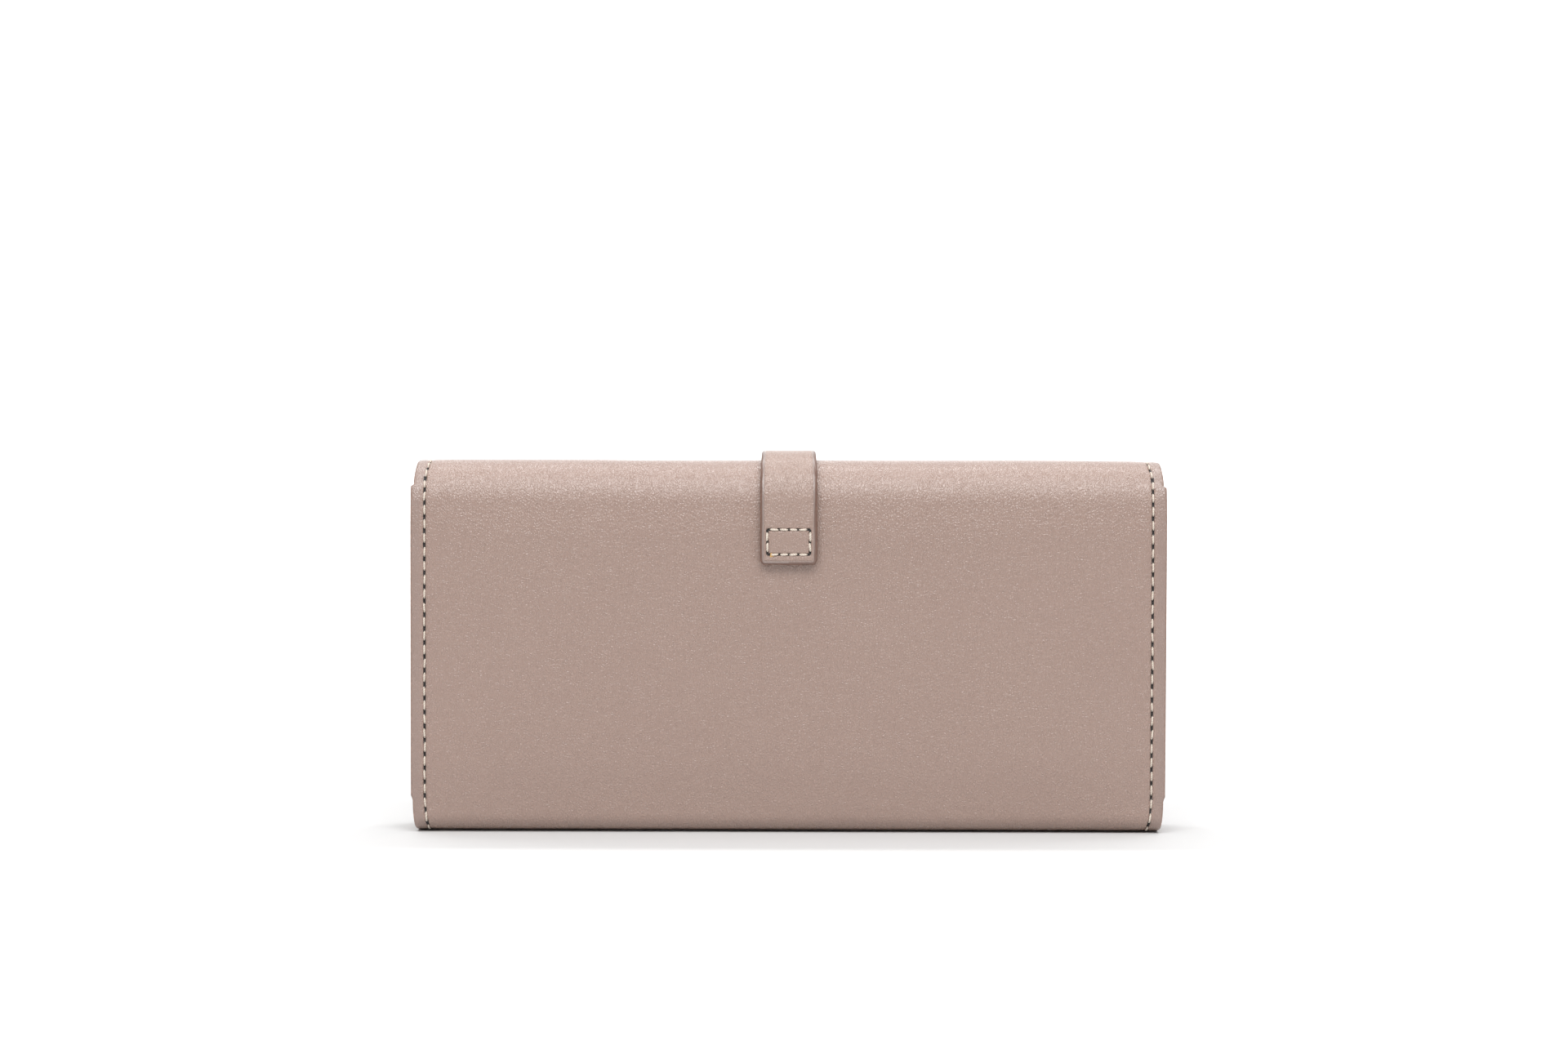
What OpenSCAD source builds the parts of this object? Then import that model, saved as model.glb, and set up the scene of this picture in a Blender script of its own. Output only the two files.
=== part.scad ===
// Long flap-over wallet. One strip of leather makes the front panel, the bottom fold, the back,
// the top fold and the flap. A strap sewn to the back goes over the top and buttons on the front.
// Length runs along X, the back faces -Y, the flap faces +Y, and the wallet stands on Z = 0.

/* [Body] */
// Length of the wallet along its folds
wallet_w = 192; // [180:1:232]
// Height of the closed wallet, strap not counted
wallet_h = 94.5; // [92:0.5:116]
// Thickness of the closed wallet, straps not counted
wallet_t = 24; // [23.6:0.2:32]

/* [Leather and lining] */
// Thickness of the outer leather
leather_t = 1.2; // [0.9:0.1:1.6]
// Thickness of the stiffening board inside the panels
board_t = 0.6; // [0.4:0.1:0.9]
// Thickness of the lining cloth
lining_t = 0.4; // [0.2:0.1:0.6]
// Distance from the leather's side edges to the edges of lining and board
lining_inset = 1.5; // [1:0.5:3]
// Space between the closed flap and the front panel
flap_gap = 0.2; // [0.1:0.1:0.6]

/* [Folds] */
// Outer radius of each quarter of the top fold
top_fold_r = 10.5; // [8.5:0.25:11.5]
// Outer radius of each quarter of the bottom fold
bottom_fold_r = 7; // [5.5:0.5:8.5]
// Step in the leather's side edge where a fold begins
fold_step = 0.9; // [0.5:0.1:1.5]
// How far the side edge has drawn in at the middle of a fold
fold_taper = 1.9; // [1.8:0.1:3]
// Height of the narrower leather at the top fold
top_notch = 7.2; // [6:0.2:9]
// Height of the narrower leather at the bottom fold
bottom_notch = 8.8; // [7:0.2:10]

/* [Front panel and flap] */
// Height of the front panel's top edge above the ground
front_top = 78; // [70:1:80]
// Height of the flap's lower edge above the ground
flap_hem = 26; // [24:1:36]
// Radius of the flap's two lower corners
flap_corner_r = 10; // [3:1:20]

/* [Strap] */
// Width of the strap
strap_w = 14.5; // [14:0.5:20]
// Thickness of each of the strap's two layers
strap_layer = 1.2; // [0.9:0.1:1.6]
// How far the sewn end lies below the top of the wallet at the back
strap_back_drop = 26; // [22:1:34]
// Height of the strap's front tip above the ground
strap_tip = 9; // [7:0.5:9.5]
// Radius of the strap's end corners
strap_corner_r = 1.5; // [0.5:0.5:3]
// How far below the top fold the strap's loose part begins
strap_bend_drop = 4; // [3:0.5:8]

/* [Press stud] */
// Height of the press stud's centre above the ground
snap_z = 17; // [16:0.5:17.5]
// Radius of the visible cap
cap_r = 6; // [5.5:0.25:6.5]
// Height of the cap above the strap
cap_h = 1.4; // [1:0.1:2]
// Radius of the stud's post
stud_r = 1.9; // [1.6:0.1:2.2]
// Radial clearance between the stud and its socket
snap_clear = 0.4; // [0.4:0.05:0.6]
// Outer radius of the socket
socket_r = 5; // [4.5:0.25:5.5]
// Radius of the rivet shanks that pass through leather
shank_r = 1.4; // [1.2:0.1:1.5]

/* [Stitching] */
// Distance from one stitch to the next
stitch_pitch = 3.55; // [3:0.05:4.5]
// Length of a stitch
stitch_len = 2.65; // [2:0.05:2.9]
// Width of the thread
stitch_w = 0.5; // [0.3:0.1:0.8]
// How far the thread stands above the leather
stitch_h = 0.2; // [0.1:0.05:0.3]
// Distance from the leather's edge to the row of stitches
stitch_inset = 3.6; // [3.4:0.1:5]
// Width of the stitched box on the strap's sewn end
box_w = 11.6; // [9:0.2:12.5]
// Height of the stitched box
box_h = 6.8; // [5:0.2:9]
// Distance from the strap's end to the stitched box
box_inset = 2.6; // [2:0.1:4]

/* [Card slots] */
// Width of each card slot, for cards 85.6 wide
slot_w = 87; // [86.6:0.2:88]
// Space between the left and the right card slots
slot_space = 2; // [1:0.5:4]
// Number of slots on each side
slot_count = 4; // [4:1:4]
// Height step from one slot's top edge to the next
slot_step = 9; // [7:0.5:11]
// Height of the highest slot's top edge above the ground
slot_top = 72; // [64:1:76]
// Thickness of a slot's leather
slot_t = 0.4; // [0.3:0.05:0.4]

/* [Coin pocket] */
// Length of the coin pocket
coin_w = 168; // [150:1:168]
// Height of the coin pocket's top edge above the ground
coin_top = 66; // [60:1:68]
// Clear space inside the coin pocket
coin_gap = 4.6; // [4.4:0.2:6]
// Thickness of the coin pocket's walls
wall_t = 0.8; // [0.6:0.1:1]
// Space between the bottom fold and the coin pocket
coin_lift = 2; // [1.5:0.5:5]

/* [Zip] */
// Distance from the zip's middle to each end stop
zip_half = 72; // [55:1:72]
// Thickness of the zip's tape
tape_t = 0.5; // [0.4:0.1:0.6]
// Distance from one zip tooth to the next
tooth_pitch = 2; // [1.8:0.1:3]
// Size of a tooth along the zip
tooth_l = 1.1; // [0.9:0.1:1.5]
// Size of a tooth across the zip
tooth_w = 1.2; // [1:0.1:1.4]
// Size of a tooth up the zip
tooth_h = 1.6; // [1.4:0.1:1.8]
// Space between the two rows of teeth, where the slider's web runs
zip_web = 0.6; // [0.6:0.1:0.8]
// Length of the slider's plates
slider_l = 8; // [7:0.5:9]
// Width of the slider's top plate
slider_w = 5.4; // [5.2:0.1:5.8]
// Thickness of the slider's plates
slider_t = 0.8; // [0.6:0.1:1]
// Running space between the slider and the teeth
slider_clear = 0.2; // [0.15:0.05:0.3]
// Length of the zip's pull from its pin
pull_len = 15; // [10:1:16]
// Width of the pull's tab
pull_w = 5; // [4:0.5:7]
// Radius of the pull's pin
pin_r = 0.55; // [0.5:0.05:0.7]
// Radial clearance of the pull on its pin
pin_clear = 0.07; // [0.05:0.01:0.1]

/* [Gussets] */
// Thickness of the gusset's leather
gusset_t = 0.7; // [0.5:0.1:0.9]
// How deep the gusset's folds reach in from its edges
gusset_depth = 7; // [5:0.5:8]
// Height of the gusset's top edge above the ground
gusset_top = 75; // [60:1:76]

/* [Hidden] */
$fn = 48;
strap_t = 2 * strap_layer;
panel_t = leather_t + board_t + lining_t;
stack_t = slot_t * (slot_count + 1);
compartment = (wallet_t - 3 * panel_t - stack_t - 2 * wall_t - coin_gap - flap_gap) / 2;

// Faces from back to front
total_y = stitch_h + strap_t + wallet_t + strap_t + cap_h;
y_back = -total_y / 2 + stitch_h + strap_t;
y_board = y_back + leather_t;
y_lining = y_board + board_t;
y_stack = y_lining + lining_t;
y_slots = y_stack + slot_t;
y_coin = y_stack + stack_t + compartment;
y_coin_room = y_coin + wall_t;
y_coin_front = y_coin_room + coin_gap;
y_front_room = y_coin_front + wall_t;
y_front_lining = y_front_room + compartment;
y_front_board = y_front_lining + lining_t;
y_front_leather = y_front_board + board_t;
y_front = y_front_leather + leather_t;
y_flap_lining = y_front + flap_gap;
y_flap_board = y_flap_lining + lining_t;
y_flap_leather = y_flap_board + board_t;
y_flap = y_flap_leather + leather_t;

// Fold centres
z_fold = wallet_h - top_fold_r;
y_rear_c = y_back + top_fold_r;
y_front_c = y_flap - top_fold_r;
y_low_rear_c = y_back + bottom_fold_r;
y_low_front_c = y_front - bottom_fold_r;
crease = 45;

lining_trim = 0.5;
lining_w = wallet_w - 2 * lining_inset;
fold_w = wallet_w - 2 * (fold_taper + lining_trim);
stitch_x = wallet_w / 2 - stitch_inset;
z_strap_end = wallet_h - strap_back_drop;
z_bend = z_fold - strap_bend_drop;
coin_bottom_z = bottom_fold_r + coin_lift;
slot_lift = 1;
slot_bottom = bottom_fold_r + slot_lift;
hem = 1;
gusset_clear = 0.05;
gusset_in = 1;
pleat_in = 1;
past = 1;
box_stitch = 2;

// Press stud
socket_h = 1.5;
stud_seat = 0.2;
stud_h = panel_t + flap_gap - stud_seat;
flange_h = 0.5;
flange_r = 4.5;
rivet_r = 4.2;

// Zip
y_zip = (y_coin + y_front_room) / 2;
z_zip = coin_top + tape_t / 2;
zip_end = 2;
tooth_count = floor(2 * (zip_half - zip_end) / tooth_pitch);
stop_l = 1.6;
slider_x = zip_half - stop_l - slider_l / 2;
slider_z = z_zip + tooth_h / 2 + slider_clear;
under_clear = 0.3;
under_w = coin_gap - 2 * under_clear;
post_l = 3;
lip_t = 0.5;
ear_t = 0.7;
eye_w = 2.2;
ear_gap = 0.1;
eye_r = 1.15;
pull_clear = 0.15;
pin_z = slider_z + slider_t + eye_r + pull_clear;
pull_t = 1;
neck_l = 1.5;

leather_colour = [0.68, 0.59, 0.55];
edge_colour = [0.42, 0.29, 0.24];
lining_colour = [0.55, 0.47, 0.43];
board_colour = [0.82, 0.78, 0.7];
thread_colour = [0.9, 0.86, 0.79];
metal_colour = [0.86, 0.74, 0.5];

// A flat sheet, centred on X
module slab(w, y0, y1, z0, z1) {
    translate([-w / 2, y0, z0]) cube([w, y1 - y0, z1 - z0]);
}

// A flat sheet between two faces, cut to a two-dimensional outline in X and Z
module sheet_of(y0, y1) {
    rotate([90, 0, 0]) translate([0, 0, -y1]) linear_extrude(y1 - y0) children();
}

// A bent sheet round a line along X. Angles run from +Y towards +Z
module bent(y, z, r, t, w, a0, a1) {
    translate([0, y, z]) rotate([90, 0, 90]) translate([0, 0, -w / 2])
        rotate_extrude(angle = a1 - a0, start = a0) translate([r - t, 0]) square([t, w]);
}

// The outline of a sheet with rounded lower corners
module round_low(w, z0, z1, r) {
    translate([-w / 2, z0 + r]) square([w, z1 - z0 - r]);
    translate([-w / 2 + r, z0]) square([w - 2 * r, r]);
    for (side = [-1, 1]) translate([side * (w / 2 - r), z0 + r]) circle(r);
}

// What is cut from the side edges of the leather where it goes round a fold
module edge_cuts() {
    for (side = [0, 1]) mirror([side, 0, 0]) sheet_of(y_back - past, y_flap + past) {
        polygon([
            [wallet_w / 2 - fold_step, wallet_h - top_notch],
            [wallet_w / 2 + past, wallet_h - top_notch],
            [wallet_w / 2 + past, wallet_h + past],
            [wallet_w / 2 - fold_taper, wallet_h + past]
        ]);
        polygon([
            [wallet_w / 2 - fold_step, bottom_notch],
            [wallet_w / 2 + past, bottom_notch],
            [wallet_w / 2 + past, -past],
            [wallet_w / 2 - fold_taper, -past]
        ]);
    }
}

// Rows of upright stitches near both side edges, standing on the face y towards dir
module side_stitches(y, dir, z0, z1) {
    count = floor((z1 - z0) / stitch_pitch);
    start = (z0 + z1 - (count - 1) * stitch_pitch - stitch_len) / 2;
    for (x = [-stitch_x, stitch_x]) for (i = [0 : count - 1])
        translate([x - stitch_w / 2, dir > 0 ? y : y - stitch_h, start + i * stitch_pitch])
            cube([stitch_w, stitch_h, stitch_len]);
}

// Rows of stitches round a bend near both side edges
module bent_stitches(y, z, r, a0, a1) {
    step = stitch_pitch / r * 180 / PI;
    count = floor((a1 - a0) / step);
    for (x = [-stitch_x, stitch_x]) for (i = [0 : count - 1])
        translate([x, y, z]) rotate([a0 + (i + 0.5) * (a1 - a0) / count, 0, 0])
            translate([-stitch_w / 2, r, -stitch_len / 2]) cube([stitch_w, stitch_h, stitch_len]);
}

// Outer leather

module back_leather() {
    color(leather_colour) difference() {
        union() {
            slab(wallet_w, y_back, y_board, bottom_fold_r, z_fold);
            bent(y_rear_c, z_fold, top_fold_r, leather_t, wallet_w, 180 - crease, 180);
        }
        edge_cuts();
    }
}

module bottom_fold_leather() {
    color(leather_colour) difference() {
        union() {
            bent(y_low_rear_c, bottom_fold_r, bottom_fold_r, leather_t, wallet_w, 180, 270);
            slab(wallet_w, y_low_rear_c, y_low_front_c, 0, leather_t);
            bent(y_low_front_c, bottom_fold_r, bottom_fold_r, leather_t, wallet_w, 270, 360);
        }
        edge_cuts();
    }
}

module front_leather() {
    color(leather_colour) difference() {
        slab(wallet_w, y_front_leather, y_front, bottom_fold_r, front_top);
        edge_cuts();
        snap_hole(y_front_leather, y_front, shank_r);
    }
}

module top_fold_leather() {
    color(leather_colour) difference() {
        union() {
            bent(y_rear_c, z_fold, top_fold_r, leather_t, wallet_w, 90, 180 - crease);
            slab(wallet_w, y_rear_c, y_front_c, wallet_h - leather_t, wallet_h);
            bent(y_front_c, z_fold, top_fold_r, leather_t, wallet_w, crease, 90);
        }
        edge_cuts();
    }
}

module flap_leather() {
    color(leather_colour) difference() {
        union() {
            bent(y_front_c, z_fold, top_fold_r, leather_t, wallet_w, 0, crease);
            sheet_of(y_flap_leather, y_flap) round_low(wallet_w, flap_hem, z_fold, flap_corner_r);
        }
        edge_cuts();
    }
}

// Boards and linings

module back_board() {
    color(board_colour) slab(lining_w, y_board, y_lining, bottom_fold_r, z_fold);
}

module front_board() {
    color(board_colour) difference() {
        slab(lining_w, y_front_board, y_front_leather, bottom_fold_r, front_top - hem);
        snap_hole(y_front_board, y_front_leather, flange_r);
    }
}

module flap_board() {
    color(board_colour) sheet_of(y_flap_board, y_flap_leather)
        round_low(lining_w, flap_hem + hem, z_fold, flap_corner_r - hem);
}

module back_lining() {
    r = top_fold_r - leather_t - board_t;
    color(lining_colour) {
        slab(fold_w, y_lining, y_stack, bottom_fold_r, z_fold);
        bent(y_rear_c, z_fold, r, lining_t, fold_w, 180 - crease, 180);
    }
}

module bottom_lining() {
    r = bottom_fold_r - leather_t - board_t;
    z = leather_t + board_t;
    color(lining_colour) {
        bent(y_low_rear_c, bottom_fold_r, r, lining_t, fold_w, 180, 270);
        slab(fold_w, y_low_rear_c, y_low_front_c, z, z + lining_t);
        bent(y_low_front_c, bottom_fold_r, r, lining_t, fold_w, 270, 360);
    }
}

module front_lining() {
    color(lining_colour) slab(fold_w, y_front_lining, y_front_board, bottom_fold_r, front_top - hem);
}

module top_fold_lining() {
    r = top_fold_r - leather_t - board_t;
    color(lining_colour) {
        bent(y_rear_c, z_fold, r, lining_t, fold_w, 90, 180 - crease);
        slab(fold_w, y_rear_c, y_front_c, z_fold + r - lining_t, z_fold + r);
        bent(y_front_c, z_fold, r, lining_t, fold_w, crease, 90);
    }
}

module flap_lining() {
    r = top_fold_r - leather_t - board_t;
    color(lining_colour) {
        bent(y_front_c, z_fold, r, lining_t, fold_w, 0, crease);
        sheet_of(y_flap_lining, y_flap_board)
            round_low(fold_w, flap_hem + hem, z_fold, flap_corner_r - hem);
    }
}

// Thread

module back_stitches() {
    color(thread_colour) {
        side_stitches(y_back, -1, bottom_notch, z_fold);
        bent_stitches(y_rear_c, z_fold, top_fold_r, 180 - crease, 180);
    }
}

module front_stitches() {
    color(thread_colour) side_stitches(y_front, 1, bottom_notch, flap_hem - hem);
}

module top_fold_stitches() {
    count = floor((y_front_c - y_rear_c) / stitch_pitch) + 1;
    color(thread_colour) {
        bent_stitches(y_rear_c, z_fold, top_fold_r, 90, 180 - crease);
        bent_stitches(y_front_c, z_fold, top_fold_r, crease, 90);
        for (x = [-stitch_x, stitch_x])
            translate([x, (y_rear_c + y_front_c - (count - 1) * stitch_pitch) / 2, wallet_h])
                for (i = [0 : count - 1]) translate([-stitch_w / 2, i * stitch_pitch - stitch_len / 2, 0])
                    cube([stitch_w, stitch_len, stitch_h]);
    }
}

module flap_stitches() {
    span = wallet_w - 2 * flap_corner_r;
    count = floor(span / stitch_pitch);
    color(thread_colour) {
        side_stitches(y_flap, 1, flap_hem + flap_corner_r, z_fold);
        bent_stitches(y_front_c, z_fold, top_fold_r, 0, crease);
        for (i = [0 : count - 1])
            if (abs((i + 0.5) * span / count - span / 2) > (strap_w + stitch_len) / 2)
                translate([(i + 0.5) * span / count - (span + stitch_len) / 2, y_flap, flap_hem + stitch_inset])
                    cube([stitch_len, stitch_h, stitch_w]);
    }
}

module strap_anchor_stitches() {
    y = y_back - strap_t - stitch_h;
    z = z_strap_end + box_inset;
    across = 4;
    up = 2;
    color(thread_colour) {
        for (row = [z, z + box_h - stitch_w]) for (i = [0 : across - 1])
            translate([(i + 0.5) * box_w / across - (box_w + box_stitch) / 2, y, row])
                cube([box_stitch, stitch_h, stitch_w]);
        for (side = [-box_w / 2, box_w / 2 - stitch_w]) for (i = [0 : up - 1])
            translate([side, y, z + (i + 0.5) * box_h / up - box_stitch / 2])
                cube([stitch_w, stitch_h, box_stitch]);
    }
}

// Card slots and side gussets

module card_panel() {
    color(lining_colour) slab(2 * slot_w + slot_space, y_stack, y_slots, slot_bottom, slot_top + hem);
}

// Slot k counts from the highest, which lies against the card panel
module card_slot(side, k) {
    y = y_slots + (k - 1) * slot_t;
    color(leather_colour) translate([side * (slot_w + slot_space) / 2, 0, 0])
        slab(slot_w, y, y + slot_t, slot_bottom, slot_top - (k - 1) * slot_step);
}

// A pleated side that folds inwards behind and in front of the coin pocket
module gusset(side) {
    edge = wallet_w / 2 - fold_taper - gusset_in;
    y1 = (y_stack + stack_t + y_coin) / 2;
    skew = gusset_t * norm([gusset_depth, y1 - y_stack]) / (y1 - y_stack);
    path = [
        [edge, y_stack],
        [edge - gusset_depth, y1],
        [edge - pleat_in, y_zip],
        [edge - gusset_depth, (y_front_room + y_front_lining) / 2],
        [edge, y_front_lining - gusset_clear]
    ];
    color(leather_colour) mirror([side, 0, 0]) translate([0, 0, bottom_fold_r])
        linear_extrude(gusset_top - bottom_fold_r) polygon(concat(
            [for (p = path) [p[0] - skew / 2, p[1]]],
            [for (i = [4 : -1 : 0]) [path[i][0] + skew / 2, path[i][1]]]
        ));
}

// Strap. Each part has a leather layer, and a backing layer next to the wallet

module anchor_layer(lift, t) {
    sheet_of(y_back - lift - t, y_back - lift) round_low(strap_w, z_strap_end, z_fold, strap_corner_r);
    bent(y_rear_c, z_fold, top_fold_r + lift + t, t, strap_w, 180 - crease, 180);
}

module crown_layer(lift, t) {
    r = top_fold_r + lift + t;
    bent(y_rear_c, z_fold, r, t, strap_w, 90, 180 - crease);
    slab(strap_w, y_rear_c, y_front_c, wallet_h + lift, wallet_h + lift + t);
    bent(y_front_c, z_fold, r, t, strap_w, crease, 90);
}

module shoulder_layer(lift, t) {
    bent(y_front_c, z_fold, top_fold_r + lift + t, t, strap_w, 0, crease);
    slab(strap_w, y_flap + lift, y_flap + lift + t, z_bend, z_fold);
}

module tail_layer(lift, t) {
    difference() {
        sheet_of(y_flap + lift, y_flap + lift + t) round_low(strap_w, strap_tip, z_bend, strap_corner_r);
        snap_hole(y_flap + lift, y_flap + lift + t, shank_r);
    }
}

module strap_anchor() { color(leather_colour) anchor_layer(strap_layer, strap_layer); }

module strap_anchor_backing() { color(edge_colour) anchor_layer(0, strap_layer); }

module strap_crown() { color(leather_colour) crown_layer(strap_layer, strap_layer); }

module strap_crown_backing() { color(edge_colour) crown_layer(0, strap_layer); }

module strap_shoulder() { color(leather_colour) shoulder_layer(strap_layer, strap_layer); }

module strap_shoulder_backing() { color(edge_colour) shoulder_layer(0, strap_layer); }

module strap_tail() { color(leather_colour) tail_layer(strap_layer, strap_layer); }

module strap_tail_backing() { color(edge_colour) tail_layer(0, strap_layer); }

// Press stud

// A cylinder round the press stud's line, from y0 to y1
module snap_round(y0, y1, r) {
    translate([0, y1, snap_z]) rotate([90, 0, 0]) cylinder(h = y1 - y0, r = r);
}

module snap_hole(y0, y1, r) { snap_round(y0 - past, y1 + past, r); }

module snap_cap() {
    dome = (cap_r * cap_r + cap_h * cap_h) / (2 * cap_h);
    color(metal_colour) {
        intersection() {
            translate([0, y_flap + strap_t + cap_h - dome, snap_z]) sphere(dome, $fn = 200);
            snap_round(y_flap + strap_t, y_flap + strap_t + cap_h, cap_r);
        }
        snap_round(y_flap, y_flap + strap_t, shank_r);
    }
}

module snap_socket() {
    color(metal_colour) difference() {
        snap_round(y_flap - socket_h, y_flap, socket_r);
        snap_hole(y_flap - socket_h, y_flap, stud_r + snap_clear);
    }
}

module snap_stud() {
    color(metal_colour) {
        snap_round(y_front, y_front + flange_h, flange_r);
        snap_round(y_front, y_front + stud_h, stud_r);
    }
}

module snap_stud_rivet() {
    color(metal_colour) {
        snap_round(y_front_leather - flange_h, y_front_leather, rivet_r);
        snap_round(y_front_leather - flange_h, y_front, shank_r);
    }
}

// Coin pocket

module coin_wall_rear() {
    color(lining_colour) slab(coin_w, y_coin, y_coin_room, coin_bottom_z, coin_top);
}

module coin_wall_front() {
    color(lining_colour) slab(coin_w, y_coin_front, y_front_room, coin_bottom_z, coin_top);
}

module coin_side(side) {
    color(lining_colour) mirror([side, 0, 0]) translate([coin_w / 2 - wall_t, y_coin_room, coin_bottom_z])
        cube([wall_t, coin_gap, coin_top - coin_bottom_z]);
}

module coin_bottom() {
    color(lining_colour)
        slab(coin_w - 2 * wall_t, y_coin_room, y_coin_front, coin_bottom_z, coin_bottom_z + wall_t);
}

// Zip

module zip_tape(dir) {
    inner = zip_web / 2 + tooth_w;
    outer = wall_t + coin_gap / 2;
    color(edge_colour) mirror([0, dir > 0 ? 0 : 1, 0]) translate([0, dir * y_zip, 0])
        slab(coin_w, inner, outer, coin_top, coin_top + tape_t);
}

module zip_teeth(dir) {
    shift = dir > 0 ? 0 : tooth_pitch / 2;
    color(metal_colour) for (i = [0 : tooth_count - 1])
        translate([
            (i - tooth_count / 2) * tooth_pitch + shift,
            y_zip + (dir > 0 ? zip_web / 2 : -zip_web / 2 - tooth_w),
            z_zip - tooth_h / 2
        ]) cube([tooth_l, tooth_w, tooth_h]);
}

module zip_stop(side) {
    color(metal_colour) mirror([side, 0, 0]) translate([zip_half - stop_l, 0, 0])
        translate([0, y_zip - zip_web / 2 - tooth_w, z_zip - tooth_h / 2])
            cube([stop_l, zip_web + 2 * tooth_w, tooth_h]);
}

module zip_slider() {
    web = [post_l, zip_web - slider_clear, 2 * (slider_z - z_zip)];
    lip_h = slider_z - z_zip - tape_t / 2 - slider_clear;
    color(metal_colour) translate([slider_x, y_zip, 0]) {
        translate([-slider_l / 2, -slider_w / 2, slider_z]) cube([slider_l, slider_w, slider_t]);
        translate([-slider_l / 2, -under_w / 2, 2 * z_zip - slider_z - slider_t])
            cube([slider_l, under_w, slider_t]);
        translate([-web[0] / 2, -web[1] / 2, 2 * z_zip - slider_z]) cube(web);
        for (y = [-slider_w / 2, slider_w / 2 - lip_t])
            translate([-slider_l / 2, y, slider_z - lip_h]) cube([slider_l, lip_t, lip_h]);
        for (y = [-eye_w / 2 - ear_gap - ear_t, eye_w / 2 + ear_gap]) {
            translate([-eye_r, y, slider_z]) cube([2 * eye_r, ear_t, pin_z - slider_z]);
            translate([0, y + ear_t, pin_z]) rotate([90, 0, 0]) cylinder(h = ear_t, r = eye_r);
        }
        translate([0, eye_w / 2 + ear_gap, pin_z]) rotate([90, 0, 0])
            cylinder(h = eye_w + 2 * ear_gap, r = pin_r);
    }
}

module zip_pull() {
    neck = eye_w;
    neck_end = eye_r + neck_l;
    color(metal_colour) translate([slider_x, y_zip, pin_z]) difference() {
        union() {
            translate([0, eye_w / 2, 0]) rotate([90, 0, 0]) cylinder(h = eye_w, r = eye_r);
            translate([-neck_end, -neck / 2, -pull_t / 2]) cube([neck_end, neck, pull_t]);
            translate([-pull_len + pull_w / 2, -pull_w / 2, -pull_t / 2])
                cube([pull_len - pull_w / 2 - neck_end, pull_w, pull_t]);
            translate([-pull_len + pull_w / 2, 0, -pull_t / 2]) cylinder(h = pull_t, r = pull_w / 2);
        }
        translate([0, eye_w, 0]) rotate([90, 0, 0]) cylinder(h = 2 * eye_w, r = pin_r + pin_clear);
    }
}

back_leather();
bottom_fold_leather();
back_board();
back_lining();
bottom_lining();
back_stitches();
card_panel();
card_slot(-1, 1);  // card_slot_left_1
card_slot(-1, 2);  // card_slot_left_2
card_slot(-1, 3);  // card_slot_left_3
card_slot(-1, 4);  // card_slot_left_4
card_slot(1, 1);  // card_slot_right_1
card_slot(1, 2);  // card_slot_right_2
card_slot(1, 3);  // card_slot_right_3
card_slot(1, 4);  // card_slot_right_4
gusset(1);  // gusset_left
gusset(0);  // gusset_right
strap_anchor();
strap_anchor_backing();
strap_anchor_stitches();
coin_wall_rear();
coin_wall_front();
coin_side(1);  // coin_side_left
coin_side(0);  // coin_side_right
coin_bottom();
zip_tape(-1);  // zip_tape_rear
zip_tape(1);  // zip_tape_front
zip_teeth(-1);  // zip_teeth_rear
zip_teeth(1);  // zip_teeth_front
zip_stop(1);  // zip_stop_left
zip_stop(0);  // zip_stop_right
zip_slider();
zip_pull();
front_leather();
front_board();
front_lining();
front_stitches();
snap_stud();
snap_stud_rivet();
top_fold_leather();
top_fold_lining();
top_fold_stitches();
strap_crown();
strap_crown_backing();
flap_leather();
flap_board();
flap_lining();
flap_stitches();
strap_shoulder();
strap_shoulder_backing();
strap_tail();
strap_tail_backing();
snap_cap();
snap_socket();
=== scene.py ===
import math

import bmesh
import bpy
import numpy as np
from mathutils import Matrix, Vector


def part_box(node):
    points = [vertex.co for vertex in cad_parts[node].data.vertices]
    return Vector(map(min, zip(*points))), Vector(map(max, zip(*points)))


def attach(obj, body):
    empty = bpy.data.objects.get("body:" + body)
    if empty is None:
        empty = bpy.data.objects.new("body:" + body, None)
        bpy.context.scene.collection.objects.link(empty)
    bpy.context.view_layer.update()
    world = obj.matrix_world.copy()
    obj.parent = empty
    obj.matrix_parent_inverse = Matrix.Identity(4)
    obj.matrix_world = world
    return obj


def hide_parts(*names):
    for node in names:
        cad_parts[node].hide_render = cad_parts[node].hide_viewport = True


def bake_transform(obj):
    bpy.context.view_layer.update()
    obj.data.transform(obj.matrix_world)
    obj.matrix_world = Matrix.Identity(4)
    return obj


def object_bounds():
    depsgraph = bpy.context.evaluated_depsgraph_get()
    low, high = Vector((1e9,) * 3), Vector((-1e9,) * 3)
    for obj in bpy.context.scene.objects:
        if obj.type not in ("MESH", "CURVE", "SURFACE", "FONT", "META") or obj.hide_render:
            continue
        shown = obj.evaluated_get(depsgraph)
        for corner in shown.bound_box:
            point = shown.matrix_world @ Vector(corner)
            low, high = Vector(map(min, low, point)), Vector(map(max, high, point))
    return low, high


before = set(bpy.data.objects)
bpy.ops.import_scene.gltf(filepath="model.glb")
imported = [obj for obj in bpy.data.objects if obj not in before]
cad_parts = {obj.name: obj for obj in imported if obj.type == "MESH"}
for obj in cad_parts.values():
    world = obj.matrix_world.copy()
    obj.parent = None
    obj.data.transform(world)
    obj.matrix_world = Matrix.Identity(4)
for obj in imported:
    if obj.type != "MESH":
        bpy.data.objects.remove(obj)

cad_low, cad_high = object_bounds()
mm = 0.001

# ---- Studio ----
# The wallet stands on a pale paper sweep that curves up into a wall behind it. A large soft box
# lights its back from in front and above, two weak ones fill in, and a strong one whitens the
# sweep. The camera looks almost level at the back from about a metre away.

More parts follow.
